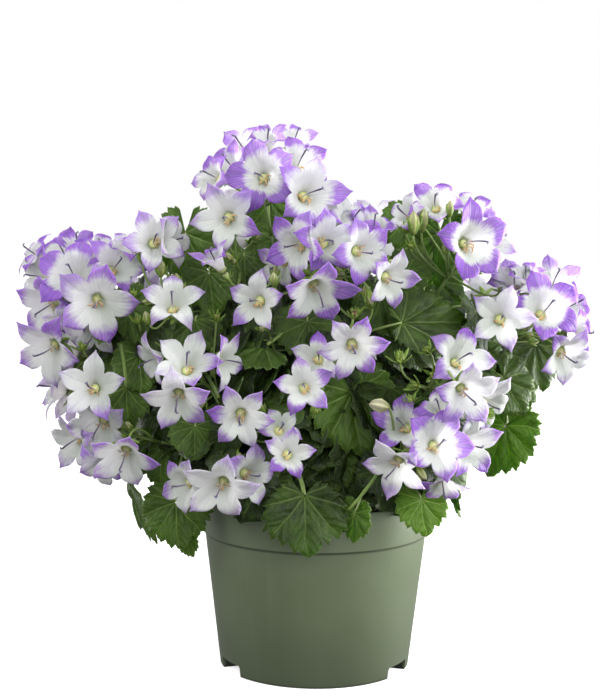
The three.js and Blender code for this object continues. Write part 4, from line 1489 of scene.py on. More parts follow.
def write_values(mesh: bpy.types.Mesh, name: str, kind: str, rows: Array) -> None:
    """Writes an attribute of the given kind to the points of a mesh.

    Args:
        mesh: the mesh.
        name: the attribute's name.
        kind: its data type.
        rows: a row or number for each point.
    """
    layer = mesh.attributes.new(name, kind, "POINT")
    slot = "vector" if kind == "FLOAT_VECTOR" else "value"
    rows = rows.astype(np.int32 if kind == "INT" else np.float32)
    layer.data.foreach_set(slot, rows.ravel())


def read_values(mesh: bpy.types.Mesh, name: str) -> Array:
    """Reads a vector or number attribute of the points of a mesh.

    Args:
        mesh: the mesh.
        name: the attribute's name.

    Returns:
        A row or number for each point.
    """
    layer = mesh.attributes[name]
    width = 3 if layer.data_type == "FLOAT_VECTOR" else 1
    number = np.int32 if layer.data_type == "INT" else np.float32
    rows = np.zeros(len(mesh.vertices) * width, number)
    layer.data.foreach_get("vector" if width == 3 else "value", rows)
    return rows.reshape(-1, 3) if width == 3 else rows


def share_out(grown: bpy.types.Mesh, books: dict[int, Book], names: Sequence[str]) -> None:
    """Adds each group of a grown mesh to the book of that group.

    Args:
        grown: the mesh, whose points carry their group.
        books: the books by group.
        names: the vector attributes that go along.
    """
    points = np.zeros(len(grown.vertices) * 3, np.float32)
    grown.vertices.foreach_get("co", points)
    points = points.reshape(-1, 3) / MM
    groups = read_values(grown, "group")
    values = {name: read_values(grown, name) for name in names}
    faces: dict[int, list[list[int]]] = {}
    numbers = np.zeros(len(points), int)
    for group in np.unique(groups):
        mine = groups == group
        numbers[mine] = np.arange(mine.sum())
        faces[int(group)] = []
    for polygon in grown.polygons:
        corners = list(polygon.vertices)
        faces[int(groups[corners[0]])].append([int(numbers[c]) for c in corners])
    for group, own in faces.items():
        mine = groups == group
        book = books.setdefault(group, Book())
        book.add(points[mine], own, **{name: rows[mine] for name, rows in values.items()})
    bpy.data.meshes.remove(grown)


def hidden_shape(name: str, book: Book) -> bpy.types.Object:
    """A shape that is only copied: its mesh is at true size in metres and isn't in the scene."""
    return bpy.data.objects.new(name, book.mesh(name))


# Pieces


def add_piece(
    name: str,
    mesh: bpy.types.Mesh,
    material: bpy.types.Material,
    stands_for: Sequence[str] = (),
) -> bpy.types.Object:
    """Puts a finished piece in the scene, on the part's one body.

    Args:
        name: the piece's name.
        mesh: its mesh, in place.
        material: its finish.
        stands_for: the solids that it replaces.

    Returns:
        The piece's object.
    """
    mesh.materials.clear()
    mesh.materials.append(material)
    piece = bpy.data.objects.new(name, mesh)
    bpy.context.scene.collection.objects.link(piece)
    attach(piece, "root")
    if stands_for:
        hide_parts(*stands_for)
    LOG.info("%s: %d faces", name, len(mesh.polygons))
    return piece


def corner_points(node: bpy.types.Object) -> Array:
    """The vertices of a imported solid, in millimetres.

    Args:
        node: the solid.

    Returns:
        Its vertices, one row each.
    """
    rows = np.zeros(len(node.data.vertices) * 3, np.float32)
    node.data.vertices.foreach_get("co", rows)
    return rows.reshape(-1, 3).astype(float) / MM


def found_share(points: Array, corners: Array, near: float = 0.08) -> float:
    """The share of the points that lie on a corner of a solid."""
    gaps = np.linalg.norm(points[:, None, :] - corners[None, :, :], axis=2)
    return float((gaps.min(axis=1) < near).mean())


def ring_count(centre: Array, radius: float, corners: Array, near: float = 0.05) -> int:
    """How many corners of a solid lie at a given distance from a point."""
    gaps = np.linalg.norm(corners - centre, axis=1)
    return int((abs(gaps - radius) < near).sum())


@dataclass(frozen=True)
class Bloom:
    """A bloom in its place, in millimetres."""

    throat: Array
    axes: Axes
    radius: float
    roll: float
    petals: int
    bell: bool
    tint: float
    seed: float
    depth: float = 1.0
    breadth: float = -1.0

    BELL_DEPTH = 2.6
    FOOT_DEPTH = 0.26
    OPEN_DEPTH = 1.12
    OPEN_RADIUS = 1.04

    @property
    def stretch(self) -> float:
        """How much deeper than an open bloom it is."""
        return self.BELL_DEPTH if self.bell else self.depth

    def at(self, angle: float, out: float, height: float) -> Array:
        """The point at an angle in degrees, a distance from the middle and a height.

        Args:
            angle: round the face from its right, in degrees.
            out: the distance from the middle.
            height: out of the face, before a deep bloom is stretched.

        Returns:
            The point.
        """
        a = math.radians(angle)
        flat = self.axes.right * math.cos(a) * out + self.axes.up * math.sin(a) * out
        return self.throat + flat + self.axes.out * height * self.stretch

    def tips(self) -> Array:
        """The tips of its petals.

        Returns:
            One row for each petal.
        """
        step = 360 / self.petals
        places = [self.roll + i * step for i in range(self.petals)]
        return np.array([self.at(a, self.radius, 0.4 * self.radius) for a in places])

    def foot(self) -> Array:
        """Where its stalk ends."""
        return self.at(0, 0, -self.FOOT_DEPTH * self.radius)

    def dressed(self, look: LookRow | None) -> "Bloom":
        """The bloom as it shows.

        Args:
            look: its own look, where it has one.

        Returns:
            The bloom that is drawn.
        """
        if look is None:
            radius = self.radius * self.OPEN_RADIUS
            return replace(self, radius=radius, depth=self.OPEN_DEPTH)
        y = float(self.throat[1])
        return replace(
            self,
            throat=DOME.along_sight(look.across, look.up, y),
            axes=Axes.facing(look.turn, look.lift),
            radius=DOME.true_length(look.radius, y),
            roll=look.roll,
            tint=look.tint,
            depth=look.depth,
            breadth=look.breadth,
        )


def crossings(lines: Array, blooms: Sequence[Bloom]) -> Array:
    """How much of each line runs through these blooms or across their faces.

    Args:
        lines: lines by points by three.
        blooms: the blooms that may be in the way.

    Returns:
        How many points of each line are in the way.
    """
    total = np.zeros(len(lines))
    for bloom in blooms:
        away = lines - bloom.throat
        height = away @ bloom.axes.out / bloom.radius / bloom.stretch
        flat = np.hypot(away @ bloom.axes.right, away @ bloom.axes.up) / bloom.radius
        surface = np.interp(flat, Corolla.REACHES, Corolla.HEIGHTS)
        total += ((flat < 1) & (height > surface - 0.08) & (height < 1.1)).sum(axis=1)
    return total


@dataclass(frozen=True)
class Corolla:
    """The shape of an open corolla, in shares of the radius out to its petal tips."""

    rows: int
    thickness: float = 0.34
    throat: float = 0.1
    turns: tuple[float, ...] = (0, 0.07, 0.2, 0.4, 0.62, 0.83, 0.95)
    broad: tuple[float, ...] = (1, 0.945, 0.885, 0.83, 0.76, 0.655, 0.56)
    narrow: tuple[float, ...] = (1, 0.925, 0.845, 0.77, 0.68, 0.575, 0.49)
    notch: float = 0.46
    curl_spread: float = 0.2
    twist_spread: float = 0.06
    length_spread: float = 0.03
    stain_spread: float = 0.13

    REACHES = (0, 0.1, 0.16, 0.25, 0.35, 0.45, 0.56, 0.7, 0.85, 1, 1.2)
    HEIGHTS = (-0.1, -0.04, 0.03, 0.13, 0.24, 0.315, 0.365, 0.395, 0.395, 0.36, 0.29)

    def add(self, book: Book, bloom: Bloom, random: np.random.Generator) -> None:
        """Adds a bloom's corolla to a book, with its petals a little uneven.

        Args:
            book: where it goes.
            bloom: the bloom.
            random: the draw for its unevenness.
        """
        half = 180 / bloom.petals
        turns = np.array(self.turns)
        lobe = np.concatenate([-turns[:0:-1], turns])
        breadth = bloom.breadth if bloom.breadth >= 0 else (bloom.seed * 5.7) % 1
        edges = mix(np.array(self.narrow), np.array(self.broad), breadth)
        rims = np.concatenate([edges[:0:-1], edges])
        curl = random.normal(0.0, self.curl_spread, bloom.petals).clip(-0.35, 0.4)
        twist = random.normal(0.0, self.twist_spread, bloom.petals)
        length = random.normal(1.0, self.length_spread, bloom.petals).clip(0.93, 1.03)
        stain = random.normal(0.0, self.stain_spread, bloom.petals)
        angles, ends, across, lifts, leans, stains = [], [], [], [], [], []
        for i in range(bloom.petals):
            middle = bloom.roll + i * 2 * half
            angles.extend([middle - half, *(middle + lobe * half)])
            rim = np.where(rims > 0.75, rims * length[i], rims)
            ends.extend([self.notch + 0.05 * breadth, *rim])
            across.extend([-1, *lobe])
            lifts.extend([(curl[i - 1] + curl[i]) / 2, *([curl[i]] * len(lobe))])
            leans.extend([0, *([twist[i]] * len(lobe))])
            stains.extend([(stain[i - 1] + stain[i]) / 2, *([stain[i]] * len(lobe))])
        angles, ends, across = np.radians(angles), np.array(ends), np.array(across)
        lifts, leans = np.array(lifts), np.array(leans)
        shares = np.linspace(0, 1, self.rows)[:, None] ** 0.9
        reach = self.throat + (ends[None, :] - self.throat) * shares
        outer = (reach - 0.45).clip(0, None)
        height = np.interp(reach, self.REACHES, self.HEIGHTS)
        height += lifts * outer**2 * 2.2 + leans * across * outer * 2.0
        groove = np.exp(-((across / 0.22) ** 2))[None, :] * (reach - 0.1).clip(0, 0.5)
        height += (0.05 + lifts * 0.2) * across[None, :] ** 2 * outer * 2 - 0.05 * groove
        height += 0.012 * np.sin(across * 7 + bloom.seed * 20)[None, :] * outer * 2
        grid = (
            bloom.throat
            + (np.cos(angles) * reach)[..., None] * bloom.axes.right * bloom.radius
            + (np.sin(angles) * reach)[..., None] * bloom.axes.up * bloom.radius
            + height[..., None] * bloom.axes.out * bloom.radius * bloom.stretch
        )
        none = reach * 0
        reach3 = np.stack([reach, abs(across) + none, shares + none], -1)
        round3 = np.stack([np.cos(angles), np.sin(angles), angles * 0], -1)
        bloom3 = np.stack([bloom.tint + np.array(stains) + none, bloom.seed + none, none], -1)
        add_sheet(
            book,
            grid,
            bloom.axes.out * self.thickness,
            closed=True,
            petal=reach3,
            round=np.broadcast_to(round3, grid.shape),
            bloom=bloom3,
        )


@dataclass(frozen=True)
class Heart:
    """The disc, anthers, style and stigma in a bloom's throat."""

    style_share: float = 0.78
    style_radius: float = 0.32

    PROFILE = ((0, -0.4), (1.7, -0.4), (2.35, 0.5), (2.2, 1.1), (1.75, 1.0), (1.2, 1.5), (0, 1.9))
    COLUMNS = 10

    def disc(self) -> Book:
        """A low green dome with a rim, at true size.

        Returns:
            Its book.
        """
        book = Book()
        points, faces = lathe(np.array(self.PROFILE), around(self.COLUMNS))
        green, yellow = hue("#8ea05a"), hue("#e3dda0")
        share = (1.15 - np.linalg.norm(points[:, :2], axis=1) / 2.1).clip(0, 1)[:, None]
        book.add(points, faces, paint=mix(green, yellow, share))
        return book

    def anther(self) -> Book:
        """A curled anther, from the middle outwards along +X, at true size.

        Returns:
            Its book.
        """
        book = Book()
        t = np.linspace(0, 1, 5)
        line = np.stack([1.1 + 3.0 * t, 0.5 * np.sin(t * 4), 1.7 + 1.3 * np.sin(t * 2.9)], -1)
        width = 0.34 * np.sin(0.5 + t * 2.4)
        grid = np.stack([line + vec(0, w, 0) * width[:, None] for w in (-1, 0.0, 1)], 1)
        grid[:, 1, 2] += 0.15
        hues = mix(hue("#e2c898"), hue("#c08a52"), t[:, None, None].repeat(3, 1))
        add_sheet(book, grid, vec(0, 0, 0.22), closed=False, paint=hues)
        return book

    def add_style(
        self, stalks: Stalks, group: int, bloom: Bloom, random: np.random.Generator
    ) -> None:
        """Adds a bloom's style and its three-lobed stigma.

        Args:
            stalks: where its lines go.
            group: the piece that it belongs to.
            bloom: the bloom.
            random: the draw for its sway.
        """
        top = self.style_share * bloom.radius / math.sqrt(bloom.stretch)
        sway = random.normal(0, 0.05, 2) * bloom.radius
        flat = bloom.axes.right * sway[0] + bloom.axes.up * sway[1]
        base, end = bloom.at(0, 0, 0.2), bloom.at(0, 0, top)
        curve = Bezier((base, base + (end - base) * 0.5 - flat, end + flat * 0.4))
        line = curve.at(np.linspace(0, 1, 7))
        pale = bloom.tint < 0.25
        stain = "#b9acd0" if pale else "#3b2b4d"
        middle = "#cfc5da" if pale else "#6d5c80"
        lower = StalkLook((0.45, self.style_radius), ("#efe9d8", middle))
        upper = StalkLook((self.style_radius, self.style_radius + 0.12), (middle, stain))
        stalks.add(group, line[:4], lower)
        stalks.add(group, line[3:], upper)
        for i in range(3):
            a = bloom.roll + 120 * i + 25
            side = bloom.axes.right * math.cos(a) + bloom.axes.up * math.sin(a)
            tip, out = line[-1], bloom.axes.out
            end = tip + side * 1.5 + out * 0.5
            lobe = Bezier((tip - out * 0.2, tip + out * 1.2 + side * 0.5, end))
            look = StalkLook((0.3, 0.17), (stain, "#8f82a8"))
            stalks.add(group, lobe.at(np.linspace(0, 1, 4)), look)


def sepal_shape() -> Book:
    """A narrow green sepal from its root along +X, bent up at its tip, one millimetre long.

    Returns:
        Its book.
    """
    book = Book()
    t = np.linspace(0, 1, 5)
    width = 0.13 * np.sin(0.35 + t * 2.75) ** 0.8 + 0.005
    line = np.stack([t, t * 0, 0.22 * t**2], -1)
    grid = np.stack([line + vec(0, 1, 0) * (w * width)[:, None] for w in (-1, 0.0, 1)], 1)
    grid[:, (0, 2), 2] += 0.03
    add_sheet(book, grid, vec(0, 0, 0.05), closed=False)
    return book


@dataclass(frozen=True)
class BudPaint:
    """The colours of a bud from foot to tip."""

    foot: str
    middle: str
    tip: str


BUD_PAINTS = {
    BudKind.RIBBED: BudPaint("#a3b658", "#ced484", "#c9cd9c"),
    BudKind.CREAM: BudPaint("#a9ae66", "#dcd9b2", "#d5cfae"),
    BudKind.SPIKY: BudPaint("#7d9a34", "#a4b84a", "#b4bf62"),
    BudKind.FADED: BudPaint("#8c9a4a", "#a7a05f", "#6d3f24"),
}


@dataclass(frozen=True)
class Bud:
    """A bud in its place, in millimetres."""

    foot: Array
    axes: Axes
    length: float
    kind: BudKind

    GIRTH = 0.27
    CREAM_GIRTH = 1.35
    OPEN_HEIGHT = 0.62
    CLOSED_BULGE = ((0, 0.12, 0.45, 0.75, 0.92, 1), (0.3, 0.62, 1, 0.78, 0.36, 0.05))
    OPEN_BULGE = ((0, 0.3, 0.7, 0.9, 1), (0.35, 0.9, 1, 0.8, 0.12))
    RIB_DEPTH = 0.2
    TWIST = 0.35
    ROWS = 10
    COLUMNS = 20

    def add(self, book: Book) -> None:
        """Adds the bud, with five rounded ribs, to a book.

        Args:
            book: where it goes.
        """
        open_top = self.kind in (BudKind.SPIKY, BudKind.FADED)
        shares = np.linspace(0, 1, self.ROWS)
        heights = shares * self.length * (self.OPEN_HEIGHT if open_top else 1.0)
        bulge = np.interp(shares, *(self.OPEN_BULGE if open_top else self.CLOSED_BULGE))
        angles = around(self.COLUMNS)
        ribs = 1 - self.RIB_DEPTH * abs(np.sin(angles * 2.5)) ** 0.7
        girth = self.GIRTH * (self.CREAM_GIRTH if self.kind is BudKind.CREAM else 1.0)
        ring = girth * self.length * bulge[:, None] * (1 + (ribs - 1)[None, :] * bulge[:, None])
        twisted = angles[None, :] + shares[:, None] * self.TWIST
        points = (
            self.foot
            + (np.cos(twisted) * ring)[..., None] * self.axes.right
            + (np.sin(twisted) * ring)[..., None] * self.axes.up
            + heights[:, None, None] * self.axes.out
        ).reshape(-1, 3)
        own = BUD_PAINTS[self.kind]
        stops = [hue(code) for code in (own.foot, own.middle, own.tip)]
        blend = [np.interp(shares, [0, 0.5, 1], [stop[k] for stop in stops]) for k in range(3)]
        hues = np.repeat(np.stack(blend, -1)[:, None, :], self.COLUMNS, 1)
        # Painted shade: the grooves between the ribs are painted darker.
        hues = hues * (0.2 + 0.8 * ribs**5)[None, :, None]
        faces = []
        n = self.COLUMNS
        for r in range(len(shares) - 1):
            low, high = r * n, (r + 1) * n
            for c in range(n):
                d = (c + 1) % n
                faces.append([low + c, low + d, high + d, high + c])
        faces.append(list(range(n))[::-1])
        faces.append([(len(shares) - 1) * n + c for c in range(n)])
        book.add(points, faces, paint=hues.reshape(-1, 3))


@dataclass
class Spray:
    """One spray: its spine, blooms and buds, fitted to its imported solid."""

    number: int
    plans: list[Callable[[float], Bloom]]
    buds: list[Bud]
    corners: Array
    blooms: list[Bloom] = field(default_factory=list)

    REACH = 30
    TIP = 10
    SMALL_REACH = 22
    STALK_SHARES = (0.15, 0.95)
    BUD_SHARE = 0.6
    NEAR = 50
    ROOTS = (0.15, 0.5, 0.9, 0.0)
    FIRST_LEAD = 10.0
    LEADS = (4.0, 15.0)
    LIFTS = (0.0, 7.0, -7.0, 13.0)

    def __post_init__(self) -> None:
        """Finds the spine, and the depth of each bloom."""
        first = [plan(0) for plan in self.plans]
        feet = [b.throat - b.axes.out * Bloom.FOOT_DEPTH * b.radius for b in first]
        middle = sum(feet) / len(feet)
        self.away = unit(middle - DOME.crown)
        reach = self.REACH if len(feet) > 2 else self.SMALL_REACH
        self.base = middle - self.away * reach
        self.base[2] = max(self.base[2], DOME.crown[2])
        self.tip = middle - self.away * self.TIP
        reaches = [float(np.linalg.norm(foot - self.base)) for foot in feet]
        self.starts = []
        for plan, far in zip(self.plans, reaches):
            self.starts.append(mix(*self.STALK_SHARES, far / max(reaches)))
            tries = [plan(shift) for shift in DEPTH_SHIFTS]
            self.blooms.append(max(tries, key=lambda b: found_share(b.tips(), self.corners)))
            if found_share(self.blooms[-1].tips(), self.corners) < 0.6:
                LOG.warning("spray %d: a bloom isn't where its solid is", self.number)
        for i, bloom in enumerate(self.blooms):
            look = BLOOM_LOOKS.get((self.number, i))
            self.blooms[i] = bloom.dressed(look and LookRow(*look))
        if self.number > len(FRONT_SPRAYS):
            self.blooms.extend(between(self.blooms))
            self.starts.extend([0.6, 0.7, 0.9])
        for i, row in enumerate(HALF_HIDDEN.get(self.number, ())):
            self.blooms.append(half_hidden(LookRow(*row), (self.number * 0.37 + i * 0.21) % 1))
            self.starts.append(0.8)

    @property
    def name(self) -> str:
        """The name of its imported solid."""
        return f"spray_{self.number:02d}"

    def stalk(self, share: float, end: Array, out: Array, blooms: Sequence[Bloom]) -> Array:
        """The clearest way of a stalk to the foot of something that faces out.

        Args:
            share: where it leaves the spine at first choice.
            end: the foot that it ends in.
            out: the way that the flower or bud faces.
            blooms: the blooms that it keeps clear of.

        Returns:
            Its points.
        """
        near = [b for b in blooms if np.linalg.norm(b.throat - end) < self.NEAR]
        t = np.linspace(0, 1, 10)
        lines, costs = [], []
        for own in (share, *self.ROOTS):
            root = self.base + (self.tip - self.base) * own
            reach = float(np.linalg.norm(end - root))
            for lead in (min(self.FIRST_LEAD, reach * 0.5), *self.LEADS):
                for lift in self.LIFTS:
                    bend = end - out * lead + vec(0, 0, lift)
                    lines.append(Bezier((root, bend, end)).at(t))
                    costs.append(abs(lift) * 0.01 + (own != share) * 0.05)
        ways = np.array(lines)
        return ways[np.argmin(crossings(ways, near) + np.array(costs))]


def front_plan(row: tuple[float, ...], seed: float) -> Callable[[float], Bloom]:
    """Where a front bloom stands for each shift in depth.

    Args:
        row: the bloom's row in the plans.
        seed: its own number between 0 and 1.

    Returns:
        The bloom for each shift.
    """
    plan = BloomRow(*row)

    def place(shift: float) -> Bloom:
        """The bloom at a shift in depth.

        Args:
            shift: how far it is moved back.

        Returns:
            The bloom in its place.
        """
        y = DOME.depth_at(plan.across, plan.up) + plan.behind + shift
        return Bloom(
            throat=DOME.along_sight(plan.across, plan.up, y),
            axes=Axes.facing(plan.turn, plan.lift),
            radius=DOME.true_length(plan.radius, y),
            roll=plan.roll,
            petals=plan.petals,
            bell=plan.radius < 12,
            tint=plan.tint,
            seed=seed,
        )

    return place


def half_hidden(row: LookRow, seed: float) -> Bloom:
    """A bloom that shows only in part between those of the solids.

    Args:
        row: how it shows.
        seed: its own number between 0 and 1.

    Returns:
        The bloom in its place.
    """
    y = DOME.depth_at(row.across, row.up) + row.behind
    plain = Bloom(vec(0, y, 0), Axes.facing(0, 0), 1.0, 0.0, 5, False, row.tint, seed)
    return plain.dressed(row)


def between(blooms: Sequence[Bloom]) -> list[Bloom]:
    """Blooms that fill the room between three others, a little behind them.

    Args:
        blooms: the three blooms.

    Returns:
        Three more blooms.
    """
    middle = sum(b.throat for b in blooms) / 3
    extra = []
    for i, bloom in enumerate(blooms):
        lean = 1.3 if i else 0.35
        throat = middle + (middle - bloom.throat) * lean - bloom.axes.out * (9 if i else -3)
        axes = Axes.facing(turn_of(bloom.axes.out) + (i - 1) * 22, 38 - 24 * i)
        seed = (bloom.seed + 0.43) % 1
        extra.append(replace(bloom, throat=throat, axes=axes, seed=seed, tint=0.35 + 0.45 * seed))
    return extra


def back_plans(row: tuple[float, ...], draw: Draw, seed: float) -> list[Callable[[float], Bloom]]:
    """Where the blooms of a side, top or back spray stand for each shift in depth.

    Args:
        row: turn from the front, height, and share of the way to the dome.
        draw: the plant's own draw.
        seed: the spray's own number between 0 and 1.

    Returns:
        For each bloom, the bloom for each shift.
    """
    azimuth, height, share = row
    rise = (height - DOME.centre_height) / DOME.height
    swell = math.sqrt(1 - rise * rise) * share
    a = math.radians(azimuth)
    centre = vec(
        math.sin(a) * DOME.back_across * swell, -math.cos(a) * DOME.back_deep * swell, height
    )
    side = Axes.facing(azimuth, 0)
    plans = []
    for i in range(3):
        b = math.radians(90 + i * 120 + draw.next() * 40)
        turn = azimuth + math.cos(b) * 25 + (draw.next() - 0.5) * 20
        lift = 20 + math.sin(b) * 30 + (draw.next() - 0.5) * 20
        radius = mix(15.5, 18.5, draw.next())
        roll = draw.next() * 72
        throat = centre + side.right * math.cos(b) * 17 + side.up * math.sin(b) * 17
        axes = Axes.facing(turn, lift)
        tint = 0.35 + 0.4 * ((seed * 7.3 + i * 0.37) % 1)

        def place(
            shift: float,
            throat: Array = throat,
            axes: Axes = axes,
            radius: float = radius,
            roll: float = roll,
            own: float = seed + i * 0.13,
            tint: float = tint,
        ) -> Bloom:
            """The bloom at a shift in depth."""
            return Bloom(throat - side.out * shift, axes, radius, roll, 5, False, tint, own)

        plans.append(place)
    return plans


TOOTH_SHAPE = ((0.0, 0.115), (0.25, 0.05), (0.4, 0.055), (0.66, 0.0))
PLAIN_TOOTH = ((0.0, 0.16), (0.42, 0.0))


@dataclass(frozen=True)
class LeafShape:
    """A blade in its place, in millimetres."""

    joint: Array
    axes: Axes
    tip_angle: float
    length: float
    width: float
    teeth: int
    back: float = 1.0

    SIDE_SHARE = 0.86
    BACK_SHARE = 0.6
    BACK_ANGLE = 158
    LOBE_ANGLES = (0, 14, 28, 50, 75, 100, 130, 158)
    LOBES = (1.06, 0.98, 0.93, 0.95, 0.9, 0.83, 0.76, 0.55)
    TOOTH = 0.13
    ARCH = 0.16
    FOLD = 0.1
    THICKNESS = 0.45

    def frame(self) -> tuple[Array, Array]:
        """Along the blade to its tip, and across it.

        Returns:
            Both as vectors of length one.
        """
        a = math.radians(self.tip_angle)
        along = self.axes.right * math.cos(a) + self.axes.up * math.sin(a)
        return along, np.cross(self.axes.out, along)

    def reach(self, angle: float | Array, tooth: float | Array) -> float | Array:
        """How far the edge is from the joint at an angle, in shares of the length.

        Args:
            angle: from the tip, in degrees.
            tooth: how deep the edge is cut there.

        Returns:
            The share or shares.
        """
        turn = abs(angle)
        share = np.interp(turn, [0, 90, 180], [1, self.SIDE_SHARE, self.BACK_SHARE])
        return share - tooth + np.where(turn < 20, 0.04, 0)

    def put(self, x: Array, y: Array, z: Array) -> Array:
        """Points of the blade's own plane in their place.

        Args:
            x: along the blade.
            y: across it.
            z: out of it.

        Returns:
            The points.
        """
        along, across = self.frame()
        flat = self.joint + x[..., None] * along + y[..., None] * across
        return flat + z[..., None] * self.axes.out

    def edge(self) -> Array:
        """The corners of the plain blade's edge.

        Returns:
            One row for each corner.
        """
        count = self.teeth * 2 + 1
        angle = np.linspace(-self.BACK_ANGLE, self.BACK_ANGLE, count)
        tooth = np.where(np.arange(count) % 2 == 0, self.TOOTH, 0)
        r = self.reach(angle, tooth) * self.length
        x, y = r * np.cos(np.radians(angle)), r * np.sin(np.radians(angle)) * self.width
        return self.put(x, y, self.FOLD * abs(y) - self.ARCH * (x * x + y * y) / self.length)

    def add(
        self, book: Book, rows: int, teeth: int, value: Array, random: np.random.Generator
    ) -> None:
        """Adds the full blade to a book, coarsely toothed and quilted between its veins.

        Args:
            book: where it goes.
            rows: how many rows of points run from the joint to the edge.
            teeth: how many teeth it has.
            value: the tint and seed that the blade carries.
            random: the draw for its teeth and waves.
        """
        last = mix(118, self.BACK_ANGLE, self.back)
        starts = np.linspace(-last, last, teeth + 1)
        starts[1:-1] += random.normal(0, 1.6, teeth - 1)
        shape = TOOTH_SHAPE if rows > 4 else PLAIN_TOOTH
        angle, tooth = [], []
        for i in range(teeth):
            run, cut = starts[i + 1] - starts[i], random.uniform(0.75, 1.3)
            for place, drop in shape:
                angle.append(starts[i] + run * (place if starts[i] < 0 else 1 - place))
                tooth.append(drop * cut)
        angle, tooth = np.array([*angle, last]), np.array([*tooth, 0.1])
        order = np.argsort(angle)
        angle, tooth = angle[order], tooth[order]
        lobes = np.interp(abs(angle), self.LOBE_ANGLES, self.LOBES)
        lobes = lobes * np.interp(abs(angle), [50, 125], [1, self.back])
        end = lobes - tooth * np.interp(abs(angle), [0, 120, 158], [1, 0.9, 0.6])
        share = np.linspace(0.02, 1, rows)[:, None] ** 0.9
        r = share * end[None, :]
        turn = np.radians(angle)[None, :]
        x, y = r * np.cos(turn), r * np.sin(turn) * self.width
        z = self.FOLD * abs(y) - self.ARCH * (x * x + y * y)
        phases = random.uniform(0, 6.28, 3)
        wrapped = (turn + VEIN_SECTOR / 2) % VEIN_SECTOR - VEIN_SECTOR / 2
        z = z - 0.045 * np.exp(-((wrapped / 0.13) ** 2)) * np.sqrt(r).clip(0, 1)
        z = z + 0.045 * r**2 * np.sin(turn * 3 + phases[0])
        z = z + 0.03 * r**2 * np.sin(turn * 8 + phases[1])
        z = z + 0.02 * np.sin(r * 9 + phases[2]) * r
        grid = self.put(x * self.length, y * self.length, z * self.length)
        blade = np.stack([r * np.cos(turn), r * np.sin(turn), share + r * 0], -1)
        thick = self.axes.out * self.THICKNESS
        leaf = np.broadcast_to(value, grid.shape)
        add_sheet(book, grid, thick, closed=False, blade=blade, leaf=leaf)


@dataclass(frozen=True)
class StemLeaf:
    """A leaf that a stem carries, and how finely it is drawn."""

    shape: LeafShape
    stalk: Bezier
    rows: int
    teeth: int
    tint: float


@dataclass
class Stem:
    """One leafy stem with its leaves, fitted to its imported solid."""

    number: int
    spray: Spray
    corners: Array
    leaves: list[StemLeaf] = field(default_factory=list)

    TURNS = (0, 14, -14, 28, -28, 42, -42, 60, -60)
    LEAF_PLACES = (0.25, 0.35, 0.45, 0.55, 0.65, 0.75, 0.85)
    INNER_ROWS = 6

    def __post_init__(self) -> None:
        """Finds the way of the stem."""
        base, away = self.spray.base, self.spray.away
        heading = math.atan2(base[0], -base[1])
        share = min((base[2] - DOME.crown[2]) / DOME.height / 0.714, 1)
        ring = mix(38, 9, share) - ((self.number - 1) % 3) * 3
        surface = mix(83, 79, (ring / 58.5) ** 2)
        best = -1
        for turn in self.TURNS:
            a = heading + math.radians(turn)
            root = vec(math.sin(a) * ring, -math.cos(a) * ring, surface - 8)
            hits = ring_count(root, 1.2, self.corners)
            if hits <= best:
                continue
            best = hits
            end = base - away * 0.4
            reach = float(np.linalg.norm(end - root))
            bend = end - away * reach * 0.3
            bend[2] = max(bend[2], 93.4)
            self.curve = Bezier((root, root + vec(0, 0, reach * 0.45), bend, end))
        if best < 3:
            LOG.warning("stem %d isn't where its solid is", self.number)

    @property
    def name(self) -> str:
        """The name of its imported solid."""
        return f"leafy_stem_{self.number:02d}"

    def petiole(self, shape: LeafShape, root: Array, lift: float) -> Bezier:
        """The way of a leaf's stalk.

        Args:
            shape: the leaf's blade.
            root: where the stalk leaves the stem.
            lift: how far its bend is raised.

        Returns:
            Its curve.
        """
        along, _ = shape.frame()
        reach = float(np.linalg.norm(shape.joint - root))
        control = shape.joint - along * 0.3 * reach - shape.axes.out * 0.1 * reach
        control[2] += lift
        return Bezier((root, control, shape.joint))


def fit_shown_leaf(row: LeafRow, stems: list[Stem]) -> bool:
    """Finds the stem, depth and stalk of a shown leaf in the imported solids, and adds it there.

    Args:
        row: the leaf's row in the plans.
        stems: the stems that it may be on.

    Returns:
        Whether its solid was found.
    """
    axes = Axes.facing(row.turn, row.lift)
    teeth = 9 if row.length > 20 else 7
    for shift in DEPTH_SHIFTS:
        y = row.depth + shift
        joint = DOME.along_sight(row.across, row.up, y)
        length = DOME.true_length(row.length, y)
        shape = LeafShape(joint, axes, row.tip_angle, length, row.width, teeth, row.back)
        for stem in stems:
            if found_share(shape.edge(), stem.corners) < 0.9:
                continue
            best, found = -1, None
            for place in Stem.LEAF_PLACES:
                root = stem.curve.at_length(place)
                for lift in (0, 8, 16, -8):
                    stalk = stem.petiole(shape, root, lift)
                    hits = ring_count(stalk.at(0.5), 0.62, stem.corners, 0.03)
                    if hits > best:
                        best, found = hits, stalk
            shape = replace(shape, length=length * row.drawn)
            fine = 21 if row.length > 20 else 17
            stem.leaves.append(StemLeaf(shape, found, 8, fine, row.tint))
            return True
    return False


def add_gap_leaf(row: LeafRow, stems: list[Stem]) -> None:
    """Adds a leaf at its own depth to the stem that passes nearest behind it.

    Args:
        row: the leaf's row in the plans.
        stems: the stems that it may be on.
    """
    joint = DOME.along_sight(row.across, row.up, row.depth)
    length = DOME.true_length(row.length, row.depth)
    axes = Axes.facing(row.turn, row.lift)
    shape = LeafShape(joint, axes, row.tip_angle, length, row.width, 7, row.back)
    places = [(stem, stem.curve.at_length(share)) for stem in stems for share in Stem.LEAF_PLACES]
    stem, root = min(places, key=lambda place: float(np.linalg.norm(place[1] - joint)))
    stem.leaves.append(StemLeaf(shape, stem.petiole(shape, root, 4), 7, 15, row.tint * 0.8))


